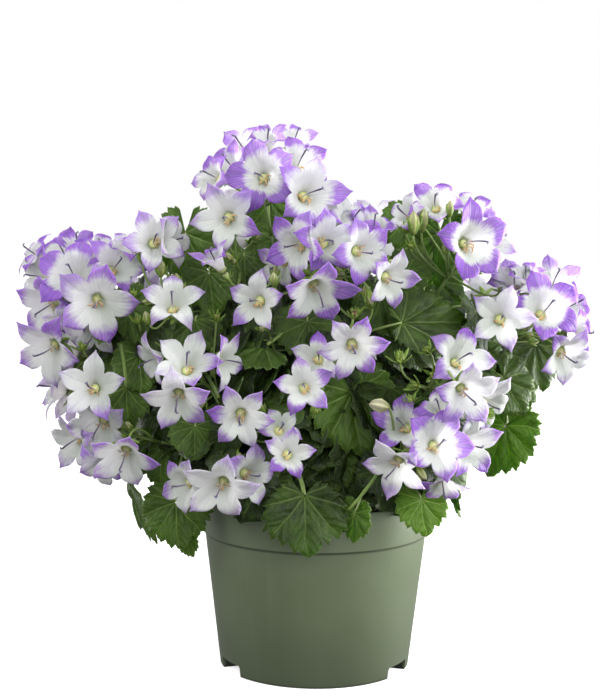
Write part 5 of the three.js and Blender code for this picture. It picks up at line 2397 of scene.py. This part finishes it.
def fit_fill_leaf(stem: Stem, share: float, order: int, draw: Draw) -> bool:
    """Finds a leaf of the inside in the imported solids, and adds it to its stem.

    Args:
        stem: the stem that it is on.
        share: where it leaves the stem at first choice.
        order: its number round the stem.
        draw: the plant's own draw.

    Returns:
        Whether its solid was found.
    """
    stalk_length = mix(16, 30, draw.next())
    full_length = mix(18, 26, draw.next())
    lean, swing = draw.next(), draw.next()
    for trial in range(18):
        start = stem.curve.at_length(share + (trial % 3) * 0.05)
        outward = unit((start - DOME.crown) * vec(1, 1, 0))
        heading = turn_of(outward)
        turn = heading + order * 137.5 + trial * 50 * (1 if trial % 2 == 0 else -1)
        shrink = 1 if trial < 9 else 0.75
        axes = Axes.facing(heading + mix(-30, 30, swing), mix(15, 55, lean))
        side = Axes.facing(turn, 12).out
        joint = start + side * stalk_length * shrink + outward * 6
        tip_angle = math.degrees(math.atan2(side @ axes.up - 0.6, side @ axes.right))
        shape = LeafShape(joint, axes, tip_angle, full_length * shrink, 0.9, 5)
        if found_share(shape.edge(), stem.corners, 0.4) < 0.9:
            continue
        if joint[2] < 104 and joint[1] < -40:
            shape = replace(shape, length=shape.length * 0.6)
        # Painted light and shade: the inner leaves are painted dark, and lighter the further they
        # are lifted towards the sky.
        stalk, tint = stem.petiole(shape, start, 0), 0.08 + 0.26 * lean
        stem.leaves.append(StemLeaf(shape, stalk, Stem.INNER_ROWS, 15, tint))
        return True
    return False


@dataclass(frozen=True)
class Pot:
    """A round nursery pot with a rim band, a foot ring with three notches and drain holes."""

    rim_radius: float = 60
    height: float = 89.4
    band_height: float = 70.1
    band_foot_radius: float = 58.5
    wall_top_radius: float = 57.5
    foot_radius: float = 49.2
    wall: float = 1.2
    floor_height: float = 7
    floor_thickness: float = 1.4
    pad_radius: float = 26
    pad_slope: float = 5
    notch_height: float = 5.7
    notch_angle: float = 11
    notch_places: tuple[float, ...] = (60, 180, 300)
    corner: float = 1.4
    columns: int = 144
    holes: int = 6
    hole_radius: float = 3
    hole_ring: float = 39.5
    sharp_angle: float = 38
    rib_start: float = 33
    rib_thickness: float = 1.4

    def wall_at(self, height: float) -> float:
        """The outer radius of the wall below the band."""
        return mix(self.foot_radius, self.wall_top_radius, height / self.band_height)

    def profile(self) -> Array:
        """The turned outline, from the middle underneath to the middle of the floor's top.

        Returns:
            Rows of radius and height.
        """
        w, top = self.wall, self.floor_height + self.floor_thickness
        pad = self.pad_radius + self.pad_slope
        return rounded([
            (0, 0, 0),
            (self.pad_radius, 0, 0.8),
            (pad, self.floor_height, 0.8),
            (self.wall_at(self.floor_height) - w, self.floor_height, 0.6),
            (self.foot_radius - w, 0, 0.3),
            (self.foot_radius, 0, 0.3),
            (self.wall_at(self.notch_height + 0.6), self.notch_height + 0.6, 0),
            (self.wall_top_radius, self.band_height, 0.2),
            (self.band_foot_radius, self.band_height, 0.35),
            (self.rim_radius, self.height, 0.7),
            (self.rim_radius - w, self.height, 0.5),
            (self.band_foot_radius - w, self.band_height + w, 0.5),
            (self.wall_at(self.band_height - w) - w, self.band_height - w, 0.5),
            (self.wall_at(top) - w, top, 0.8),
            (pad - 0.4, top, 0.8),
            (self.pad_radius - 0.4, self.floor_thickness, 0.8),
            (0, self.floor_thickness, 0),
        ])

    def notch_at(self, angle: float) -> float:
        """How high the foot is cut at an angle in degrees.

        Args:
            angle: from the front, in degrees.

        Returns:
            The height of the cut, zero beside the notches.
        """
        for place in self.notch_places:
            inside = self.notch_angle - abs((angle - place + 180) % 360 - 180)
            if inside > 0:
                rest = max(1 - inside / self.corner, 0)
                return self.notch_height - 1.2 * (1 - math.sqrt(1 - rest * rest))
        return 0

    def build(self) -> bpy.types.Mesh:
        """The pot's mesh.

        Returns:
            The mesh.
        """
        angles = set(np.linspace(0, 360, self.columns, endpoint=False).round(4))
        for place in self.notch_places:
            for side in (-1, 1):
                for step in (-0.02, 0.02, 0.3, 0.8, 1.4):
                    angles.add(round((place + side * (self.notch_angle - step)) % 360, 4))
        angles = np.array(sorted(angles))
        points, faces = lathe(self.profile(), np.radians(angles))
        for i, (x, y, z) in enumerate(points):
            cut = self.notch_at(math.degrees(math.atan2(x, -y)) % 360)
            radius = math.hypot(x, y)
            if radius > self.foot_radius - 3 and z < cut:
                outer = radius > self.foot_radius - self.wall / 2
                wanted = self.wall_at(cut) - (0 if outer else self.wall)
                points[i] = (x * wanted / radius, y * wanted / radius, cut)
        book = Book()
        book.add(points, faces)
        holder = bpy.data.objects.new("pot_blank", book.mesh("pot"))
        bpy.context.scene.collection.objects.link(holder)
        drills = Book()
        profile = np.array([(0, 3), (self.hole_radius, 3), (self.hole_radius, 11), (0, 11)])
        drill, sides = lathe(profile, around(24))
        for i in range(self.holes):
            a = i * 2 * math.pi / self.holes
            drills.add(drill + level(a) * self.hole_ring, sides)
        cutter = bpy.data.objects.new("drills", drills.mesh("drills"))
        bpy.context.scene.collection.objects.link(cutter)
        drain = holder.modifiers.new("drain", "BOOLEAN")
        drain.operation, drain.object, drain.solver = "DIFFERENCE", cutter, "EXACT"
        graph = bpy.context.evaluated_depsgraph_get()
        drained = bpy.data.meshes.new_from_object(holder.evaluated_get(graph), depsgraph=graph)
        bpy.data.objects.remove(holder)
        bpy.data.objects.remove(cutter)
        whole = Book()
        places = np.zeros(len(drained.vertices) * 3, np.float32)
        drained.vertices.foreach_get("co", places)
        whole.add(places.reshape(-1, 3) / MM, [list(face.vertices) for face in drained.polygons])
        self.add_ribs(whole)
        mesh = whole.mesh("pot")
        mesh.set_sharp_from_angle(angle=math.radians(self.sharp_angle))
        return mesh

    def add_ribs(self, book: Book) -> None:
        """Adds the ribs that run inwards under the floor from both sides of each notch.

        Args:
            book: where they go.
        """
        end, low, high = self.foot_radius - self.wall / 2, 0.05, self.floor_height + 0.3
        half = self.rib_thickness / 2
        box = [[0, 3, 2, 1], [4, 5, 6, 7], [0, 1, 5, 4], [1, 2, 6, 5], [2, 3, 7, 6], [3, 0, 4, 7]]
        for place in self.notch_places:
            for side in (-1, 1):
                a = math.radians(place + side * (self.notch_angle + 0.7))
                out, across = level(a), vec(math.cos(a), math.sin(a), 0)
                ring = [(self.rib_start, -half), (end, -half), (end, half), (self.rib_start, half)]
                flat = [out * r + across * w for r, w in ring]
                corners = [point + vec(0, 0, z) for z in (low, high) for point in flat]
                book.add(np.array(corners), box)


@dataclass(frozen=True)
class Soil:
    """The soil in the pot, with a crumbly top."""

    pot: Pot
    edge_height: float = 79
    crown_height: float = 83
    edge_gap: float = 0.42
    wall_gap: float = 1.62
    columns: int = 72
    crumb_density: float = 80000.0
    smallest: float = 0.35
    largest: float = 1.35
    seed: int = 7

    LUMP = ((0, -1), (0.8, -0.5), (1, 0.1), (0.6, 0.7), (0, 0.9))

    def build(self, material: bpy.types.Material) -> bpy.types.Mesh:
        """The soil's mesh: a smooth body with uneven top, and crumbs on it.

        Args:
            material: the finish of the crumbs.

        Returns:
            The mesh.
        """
        p = self.pot
        random = np.random.default_rng(self.seed)
        edge = p.band_foot_radius - p.wall - self.edge_gap
        top = p.floor_height + p.floor_thickness + 0.3
        outline = [(0, 1.7), (25, 1.7), (30, top), (p.wall_at(top) - self.wall_gap, top)]
        outline += [(p.wall_at(68.9) - self.wall_gap, 68.9), (edge, 71.6), (edge, self.edge_height)]
        shares = np.linspace(0.96, 0.04, 22)
        outline += [(edge * s, mix(self.crown_height, self.edge_height, s * s)) for s in shares]
        outline += [(0, self.crown_height)]
        points, faces = lathe(np.array(outline), around(self.columns))
        upper = points[:, 2] > self.edge_height + 0.05
        x, y = points[upper, 0], points[upper, 1]
        bump = np.sin(x * 0.9 + 1.7) * np.cos(y * 1.1) + 0.6 * np.sin(x * 0.37 - y * 0.53)
        points[upper, 2] += 0.66 * bump + random.normal(0, 0.35, int(upper.sum()))
        body = Book()
        body.add(points, faces)
        top_book = Book()
        crown = [f for f in faces if all(upper[v] for v in f)]
        top_book.add(points, crown)
        lump = Book()
        ball, sides = lathe(np.array(self.LUMP), around(6))
        ball = ball * random.uniform(0.75, 1.2, (len(ball), 1))
        lump.add(ball, sides)
        crumbs = CrumbGrower().grow(
            top_book.mesh("soil_top"),
            Lump=hidden_shape("lump", lump),
            Density=self.crumb_density,
            Smallest=self.smallest,
            Largest=self.largest,
            Seed=self.seed,
            Material=material,
        )
        write_values(crumbs, "group", "INT", np.zeros(len(crumbs.vertices)))
        share_out(crumbs, {0: body}, [])
        mesh = body.mesh("soil")
        mesh.shade_flat()
        return mesh


@dataclass
class Plant:
    """The whole plant: sprays, leafy stems and small inner leaves."""

    nodes: dict[str, bpy.types.Object]
    seed: int = 20260
    small_per_stem: int = 19
    small_thickness: float = 0.03
    side_buds: int = 5
    side_bud_tries: int = 24
    petal_rows: tuple[int, int] = (9, 7)
    petals: dict[int, Book] = field(default_factory=dict)
    flesh: dict[int, Book] = field(default_factory=dict)
    blades: dict[int, Book] = field(default_factory=dict)

    LEAF_GROUP = 100

    def __post_init__(self) -> None:
        """Lays the plant out."""
        draw = Draw(self.seed)
        self.random = np.random.default_rng(self.seed)
        self.stalks = Stalks()
        self.sepals = Planting()
        self.anthers = Planting()
        self.discs = Planting()
        self.small_leaves = Planting()
        self.sprays: list[Spray] = []
        for rows in FRONT_SPRAYS:
            number = len(self.sprays) + 1
            seeds = [number * 0.618 + i * 0.137 for i in range(len(rows.blooms))]
            plans = [front_plan(row, seed % 1) for row, seed in zip(rows.blooms, seeds)]
            buds = [self.bud(BudRow(*r)) for r in (*rows.buds, *GREEN_BUDS.get(number, ()))]
            self.sprays.append(Spray(number, plans, buds, self.corners(f"spray_{number:02d}")))
        for row in BACK_SPRAYS:
            number = len(self.sprays) + 1
            plans = back_plans(row, draw, (number * 0.618) % 1)
            self.sprays.append(Spray(number, plans, [], self.corners(f"spray_{number:02d}")))
        self.stems = [
            Stem(s.number, s, self.corners(f"leafy_stem_{s.number:02d}")) for s in self.sprays
        ]
        missed = sum(not fit_shown_leaf(row, self.stems) for row in SHOWN_LEAVES)
        for order in range(3):
            for i, stem in enumerate(self.stems):
                count = 2 if i < len(FRONT_SPRAYS) else 3
                share = mix(0.34, 0.8, order / (count - 1))
                if order < count:
                    fit_fill_leaf(stem, share, order + i, draw)
        for row in GAP_LEAVES:
            add_gap_leaf(row, self.stems)
        total = sum(len(stem.leaves) for stem in self.stems)
        LOG.info("%d leaves fitted, %d shown leaves missed", total, missed)
        self.open_leaves: list[tuple[Array, float]] = []
        for leaf in (leaf for stem in self.stems for leaf in stem.leaves):
            if leaf.rows > Stem.INNER_ROWS:
                reach = leaf.shape.length
                centre = leaf.shape.put(vec(0.35 * reach), vec(0), vec(0))[0]
                self.open_leaves.append((centre, reach * 0.62))

    def corners(self, name: str) -> Array:
        """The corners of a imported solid."""
        return corner_points(self.nodes[name])

    def bud(self, row: BudRow) -> Bud:
        """A bud in its place.

        Args:
            row: its row in the plans.

        Returns:
            The bud.
        """
        y = DOME.depth_at(row.across, row.up) + row.behind
        foot = DOME.along_sight(row.across, row.up, y)
        return Bud(foot, Axes.facing(row.turn, row.lift), DOME.true_length(row.length, y), row.kind)

    def add_calyx(self, group: int, foot: Array, axes: Axes, length: float, spread: float) -> None:
        """Adds five sepals round a foot.

        Args:
            group: the piece that they belong to.
            foot: where they grow from.
            axes: the way that the flower faces.
            length: their length.
            spread: how far they lean from the stalk's way, in degrees.
        """
        turn0 = self.random.uniform(0, 2 * math.pi)
        for i in range(5):
            a = turn0 + i * 2 * math.pi / 5
            side = axes.right * math.cos(a) + axes.up * math.sin(a)
            lean = math.radians(spread + self.random.normal(0, 9))
            along = side * math.sin(lean) + axes.out * math.cos(lean)
            up = -side * math.cos(lean) + axes.out * math.sin(lean)
            frame = Axes(out=up, right=along, up=np.cross(up, along))
            size = length * self.random.uniform(0.85, 1.15)
            green = hue("#7d9c40") * self.random.uniform(0.7, 1.35)
            self.sepals.add(group, foot + side * 0.7, frame.quaternion(), size, green)

    def add_side_buds(self, spray: Spray, every: Sequence[Bloom]) -> None:
        """Adds small buds along a spray's spine where there is room between all the blooms.

        Args:
            spray: the spray.
            every: all the blooms of the plant.
        """
        placed = 0
        for _ in range(self.side_bud_tries):
            share = self.random.uniform(0.2, 1.0)
            root = spray.base + (spray.tip - spray.base) * share
            way = unit(spray.away * 1.1 + unit(self.random.normal(0, 1, 3)) * 0.9)
            axes = Axes.facing(turn_of(way), math.degrees(math.asin(way[2])))
            foot = root + way * self.random.uniform(9, 17)
            bud = Bud(foot, axes, self.random.uniform(4.5, 7.5), BudKind.RIBBED)
            near = [b for b in every if np.linalg.norm(b.throat - foot) < 60]
            body = foot + axes.out * np.linspace(0, bud.length, 4)[:, None]
            line = spray.stalk(share, foot, axes.out, every)
            blocked = crossings(np.concatenate([body, line])[None], near)[0] > 0
            if placed == self.side_buds or blocked:
                continue
            placed += 1
            bud.add(self.flesh.setdefault(spray.number, Book()))
            self.stalks.add(spray.number, line, SIDE_BUD_STALK)
            self.add_calyx(spray.number, bud.foot, axes, bud.length * 0.8, 34)

    def grow_sprays(self) -> None:
        """Makes the corollas, and lays out all that carries and fills them."""
        heart = Heart()
        every = [bloom for spray in self.sprays for bloom in spray.blooms]
        for spray in self.sprays:
            n = spray.number
            corolla = Corolla(rows=self.petal_rows[n > len(FRONT_SPRAYS)])
            petals = self.petals.setdefault(n, Book())
            flesh = self.flesh.setdefault(n, Book())
            line = np.linspace(spray.base - spray.away * 0.6, spray.tip, 5)
            self.stalks.add(n, line, SPINE)
            for bloom, start in zip(spray.blooms, spray.starts):
                corolla.add(petals, bloom, self.random)
                others = [b for b in every if b is not bloom]
                way = spray.stalk(start, bloom.foot(), bloom.axes.out, others)
                self.stalks.add(n, way, BLOOM_STALK)
                foot, out = bloom.foot(), bloom.axes.out
                cup = Bezier((foot - out * 0.8, bloom.at(0, 0, -0.08 * bloom.radius)))
                self.stalks.add(n, cup.at(np.linspace(0, 1, 4)), BLOOM_FOOT)
                spread = 52 if bloom.bell else 74
                self.add_calyx(n, foot + out, bloom.axes, bloom.radius * 0.42, spread)
                self.discs.add(n, bloom.throat, bloom.axes.quaternion())
                side = -math.pi / 2 + self.random.normal(0, 0.7)
                for i in range(5):
                    spin = side + (i - 2) * 0.55 + self.random.normal(0, 0.25)
                    size = self.random.uniform(0.75, 1.15) * bloom.radius / 18
                    self.anthers.add(n, bloom.throat, bloom.axes.quaternion(spin), size)
                heart.add_style(self.stalks, n, bloom, self.random)
            for bud in spray.buds:
                bud.add(flesh)
                way = spray.stalk(Spray.BUD_SHARE, bud.foot, bud.axes.out, every)
                self.stalks.add(n, way, BUD_STALK)
                spread = {BudKind.SPIKY: 28, BudKind.FADED: 40}.get(bud.kind, 30)
                self.add_calyx(n, bud.foot, bud.axes, bud.length * 0.75, spread)
                if bud.kind is BudKind.SPIKY:
                    self.add_calyx(n, bud.foot, bud.axes, bud.length * 0.85, 55)
                    self.add_calyx(n, bud.foot, bud.axes, bud.length * 0.75, 12)
            self.add_side_buds(spray, every)

    def grow_stems(self) -> None:
        """Makes the fitted leaves, and lays out stems, leaf stalks and small inner leaves."""
        for stem in self.stems:
            group = self.LEAF_GROUP + stem.number
            book = self.blades.setdefault(stem.number, Book())
            way = stem.curve.at(np.linspace(0, 1, 22))
            self.stalks.add(group, way, LEAFY_STEM)
            for leaf in stem.leaves:
                value = vec(leaf.tint, self.random.uniform(0, 1), 0)
                leaf.shape.add(book, leaf.rows, leaf.teeth, value, self.random)
                self.stalks.add(group, leaf.stalk.at(np.linspace(0, 1, 10)), LEAF_STALK)
            for number, low, high in SHOWN_STALKS:
                if number == stem.number:
                    ends = [DOME.along_sight(*end) for end in (low, high)]
                    bend = (ends[0] + ends[1]) / 2 + vec(1.2, -0.8, 0)
                    shown = Bezier((ends[0], bend, ends[1])).at(np.linspace(0, 1, 8))
                    self.stalks.add(group, shown, SHOWN_STALK)
            for i in range(self.small_per_stem):
                self.add_small_leaf(stem, (i + self.random.uniform(0.1, 0.9)) / self.small_per_stem)

    def add_small_leaf(self, stem: Stem, share: float) -> None:
        """Adds a small leaf on its stalk inside the plant.

        Args:
            stem: the stem that it is on.
            share: where it leaves the stem.
        """
        root = stem.curve.at_length(mix(0.3, 1.0, share**0.8))
        outward = unit((root - DOME.crown) * vec(1, 1, 0.2) + vec(0, 0, 4))
        aside = unit(self.random.normal(0, 1, 3) * vec(1, 1, 0.7))
        joint = root + unit(outward * 0.35 + aside) * self.random.uniform(9, 24)
        joint[2] = max(joint[2], 91.0)
        low = joint[2] < 106 and joint[1] < -20
        heading = turn_of(outward) + self.random.normal(0, 35)
        axes = Axes.facing(heading, self.random.uniform(0, 60))
        size = self.random.uniform(12.5, 20)
        if low:
            size = min(size, (joint[2] - 83) * 0.8)
        spin = self.random.uniform(-0.9, 0.9) - math.pi / 2
        # Painted shade: the small inner leaves are painted dark.
        value = (self.random.uniform(0.0, 0.2), self.random.uniform(0, 1), 0)
        for centre, reach in self.open_leaves:
            if math.hypot(joint[0] - centre[0], joint[2] - centre[2]) < reach + size * 0.5:
                joint[1] = max(joint[1], centre[1] + 4 + size * 0.2)
        group = self.LEAF_GROUP + stem.number
        self.small_leaves.add(group, joint, axes.quaternion(spin), size, value)
        curve = Bezier((root, (root + joint) / 2 + vec(0, 0, 2), joint))
        self.stalks.add(group, curve.at(np.linspace(0, 1, 6)), SMALL_LEAF_STALK)

    def small_blade(self) -> Book:
        """The blade of a small leaf, one millimetre long and thin for it.

        Returns:
            Its book.
        """
        book = Book()
        flat = Axes(vec(0, 0, 1), vec(1, 0, 0), vec(0, 1, 0))
        plain = LeafShape(vec(0, 0, 0), flat, 0, 1, 0.9, 5)
        plain.add(book, 3, 8, vec(0, 0, 0), np.random.default_rng(4))
        for rows in book.points:
            rows[len(rows) // 2 :, 2] += LeafShape.THICKNESS - self.small_thickness
        del book.values["leaf"]
        return book

    def grow_repeats(self, leaf: bpy.types.Material, flesh: bpy.types.Material) -> None:
        """Runs the growers and shares what they make out to the pieces.

        Args:
            leaf: the finish of the blades.
            flesh: the finish of stalks, sepals and hearts.
        """
        lines = StalkGrower().grow(self.stalks.mesh(), Sides=6, Material=flesh)
        share_out(lines, self.flesh, ["paint"])
        planter = PlantGrower()
        sepal = hidden_shape("sepal", sepal_shape())
        points = self.sepals.mesh("paint")
        grown = planter.grow(points, Shape=sepal, Spread=0.05, Seed=3, Material=flesh)
        share_out(grown, self.flesh, ["paint"])
        heart = Heart()
        for shape, planting in ((heart.disc(), self.discs), (heart.anther(), self.anthers)):
            holder = hidden_shape("heart_part", shape)
            points = planting.mesh()
            grown = planter.grow(points, Shape=holder, Spread=0.08, Seed=5, Material=flesh)
            share_out(grown, self.flesh, ["paint"])
        shape = hidden_shape("small_leaf", self.small_blade())
        points = self.small_leaves.mesh("leaf")
        grown = planter.grow(points, Shape=shape, Spread=0.1, Seed=9, Material=leaf)
        shared: dict[int, Book] = {}
        share_out(grown, shared, ["blade", "leaf", "under"])
        for group, book in shared.items():
            own = self.blades[group - self.LEAF_GROUP]
            own.faces.extend([[v + own.count for v in face] for face in book.faces])
            own.points.extend(book.points)
            own.count += book.count
            for name, rows in book.values.items():
                own.values[name].extend(rows)

    def build(self) -> None:
        """Makes every piece of the plant."""
        petal, leaf = PetalFinish().build(), LeafFinish().build()
        flesh = FleshFinish("flesh").build()
        self.grow_sprays()
        self.grow_stems()
        self.grow_repeats(leaf, flesh)
        for spray in self.sprays:
            n, name = spray.number, spray.name
            petals = self.petals[n].mesh(f"{name}_petals")
            add_piece(f"{name}_petals", petals, petal, [name])
            stalks = self.flesh[n].mesh(f"{name}_stalks")
            add_piece(f"{name}_stalks", stalks, flesh, [name])
        for stem in self.stems:
            n, name = stem.number, stem.name
            leaves = self.blades[n].mesh(f"{name}_leaves")
            add_piece(f"{name}_leaves", leaves, leaf, [name])
            stalks = self.flesh[self.LEAF_GROUP + n].mesh(f"{name}_stalks")
            add_piece(f"{name}_stalks", stalks, flesh, [name])


@dataclass(frozen=True)
class Softbox:
    """An area light."""

    name: str
    place: tuple[float, float, float]
    size: float
    power: float
    target: tuple[float, float, float] = (0.0, 0.0, 0.13)

    def build(self) -> None:
        """Puts the light in the scene."""
        data = bpy.data.lights.new(self.name, "AREA")
        data.shape, data.size, data.energy = "DISK", self.size, self.power
        light = bpy.data.objects.new(self.name, data)
        bpy.context.scene.collection.objects.link(light)
        light.location = self.place
        way = (Vector(self.target) - Vector(self.place)).normalized()
        light.rotation_euler = way.to_track_quat("-Z", "Y").to_euler()


SOFTBOXES = (
    Softbox("key", (1.05, -0.7, 0.75), 0.7, 14),
    Softbox("fill", (-0.8, -1.0, 1.1), 1.0, 12.5),
    Softbox("front", (0.2, -1.7, 0.6), 1.2, 8),
    Softbox("top", (0.1, -0.1, 1.5), 0.9, 1.4),
    Softbox("rim", (1.1, 0.3, 0.05), 0.4, 30, (0.0, 0.0, 0.03)),
    Softbox("edge", (-1.1, 0.35, 0.1), 0.3, 4, (0.0, 0.0, 0.04)),
)


@dataclass(frozen=True)
class Studio:
    """The floor, the light and the camera."""

    pitch: float = 5.38
    yaw: float = -0.67
    roll: float = 0.48
    focal_pixels: float = 1458
    long_side: int = 700
    sky: float = 0.5
    ground: float = 0.16
    floor_side: float = 6000
    floor_height: float = -0.2

    def build(self) -> None:
        """Builds the studio."""
        book = Book()
        side, low = self.floor_side, self.floor_height
        corners = [(-side, -side, low), (side, -side, low), (side, side, low), (-side, side, low)]
        book.add(np.array(corners), [[0, 1, 2, 3]])
        floor = bpy.data.objects.new("floor", book.mesh("floor"))
        floor.data.materials.append(FloorFinish().build())
        bpy.context.scene.collection.objects.link(floor)
        floor.visible_diffuse = floor.visible_glossy = False
        self.add_sky()
        for softbox in SOFTBOXES:
            softbox.build()
        bpy.context.scene.view_settings.view_transform = "Standard"
        self.add_camera()

    def add_sky(self) -> None:
        """Adds an even soft sky in front of a white backdrop."""
        world = bpy.data.worlds.new("studio")
        world.use_nodes = True
        tree = world.node_tree
        sky = tree.nodes["Background"]
        place = tree.nodes.new("ShaderNodeTexCoord")
        split = tree.nodes.new("ShaderNodeSeparateXYZ")
        fade = tree.nodes.new("ShaderNodeMapRange")
        values = {"From Min": -0.5, "From Max": 0.3, "To Min": self.ground, "To Max": self.sky}
        for name, value in values.items():
            fade.inputs[name].default_value = value
        tree.links.new(place.outputs["Generated"], split.inputs[0])
        tree.links.new(split.outputs["Z"], fade.inputs["Value"])
        tree.links.new(fade.outputs[0], sky.inputs["Strength"])
        backdrop = tree.nodes.new("ShaderNodeBackground")
        seen = tree.nodes.new("ShaderNodeLightPath")
        both = tree.nodes.new("ShaderNodeMixShader")
        for shade in (sky, backdrop):
            shade.inputs["Color"].default_value = (1, 1, 1, 1)
        tree.links.new(seen.outputs["Is Camera Ray"], both.inputs[0])
        tree.links.new(sky.outputs[0], both.inputs[1])
        tree.links.new(backdrop.outputs[0], both.inputs[2])
        tree.links.new(both.outputs[0], tree.nodes["World Output"].inputs["Surface"])
        bpy.context.scene.world = world

    def add_camera(self) -> None:
        """Adds the camera where the picture was taken from."""
        p, y, r = (math.radians(v) for v in (self.pitch, self.yaw, self.roll))
        forward = vec(math.sin(y) * math.cos(p), math.cos(y) * math.cos(p), -math.sin(p))
        right = vec(math.cos(y), -math.sin(y), 0)
        up = vec(math.sin(y) * math.sin(p), math.cos(y) * math.sin(p), math.cos(p))
        across = right * math.cos(r) + up * math.sin(r)
        upward = up * math.cos(r) - right * math.sin(r)
        data = bpy.data.cameras.new("camera")
        data.lens = self.focal_pixels * data.sensor_width / self.long_side
        data.clip_start, data.clip_end = 0.01, 50
        camera = bpy.data.objects.new("camera", data)
        turned = Matrix(np.column_stack([across, upward, -forward]).tolist()).to_4x4()
        camera.matrix_world = Matrix.Translation((DOME.eye * MM).tolist()) @ turned
        bpy.context.scene.collection.objects.link(camera)
        bpy.context.scene.camera = camera


def main() -> None:
    """Builds the pot, the soil, the plant and the studio."""
    logging.basicConfig(level=logging.INFO, format="%(name)s: %(message)s")
    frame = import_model()
    pot = Pot()
    add_piece("pot_body", pot.build(), PotFinish().build(), ["pot"])
    earth = SoilFinish().build()
    add_piece("soil_body", Soil(pot).build(earth), earth, ["soil"])
    Plant(frame["nodes"]).build()
    Studio().build()
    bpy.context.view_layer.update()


if __name__ == "__main__":
    main()
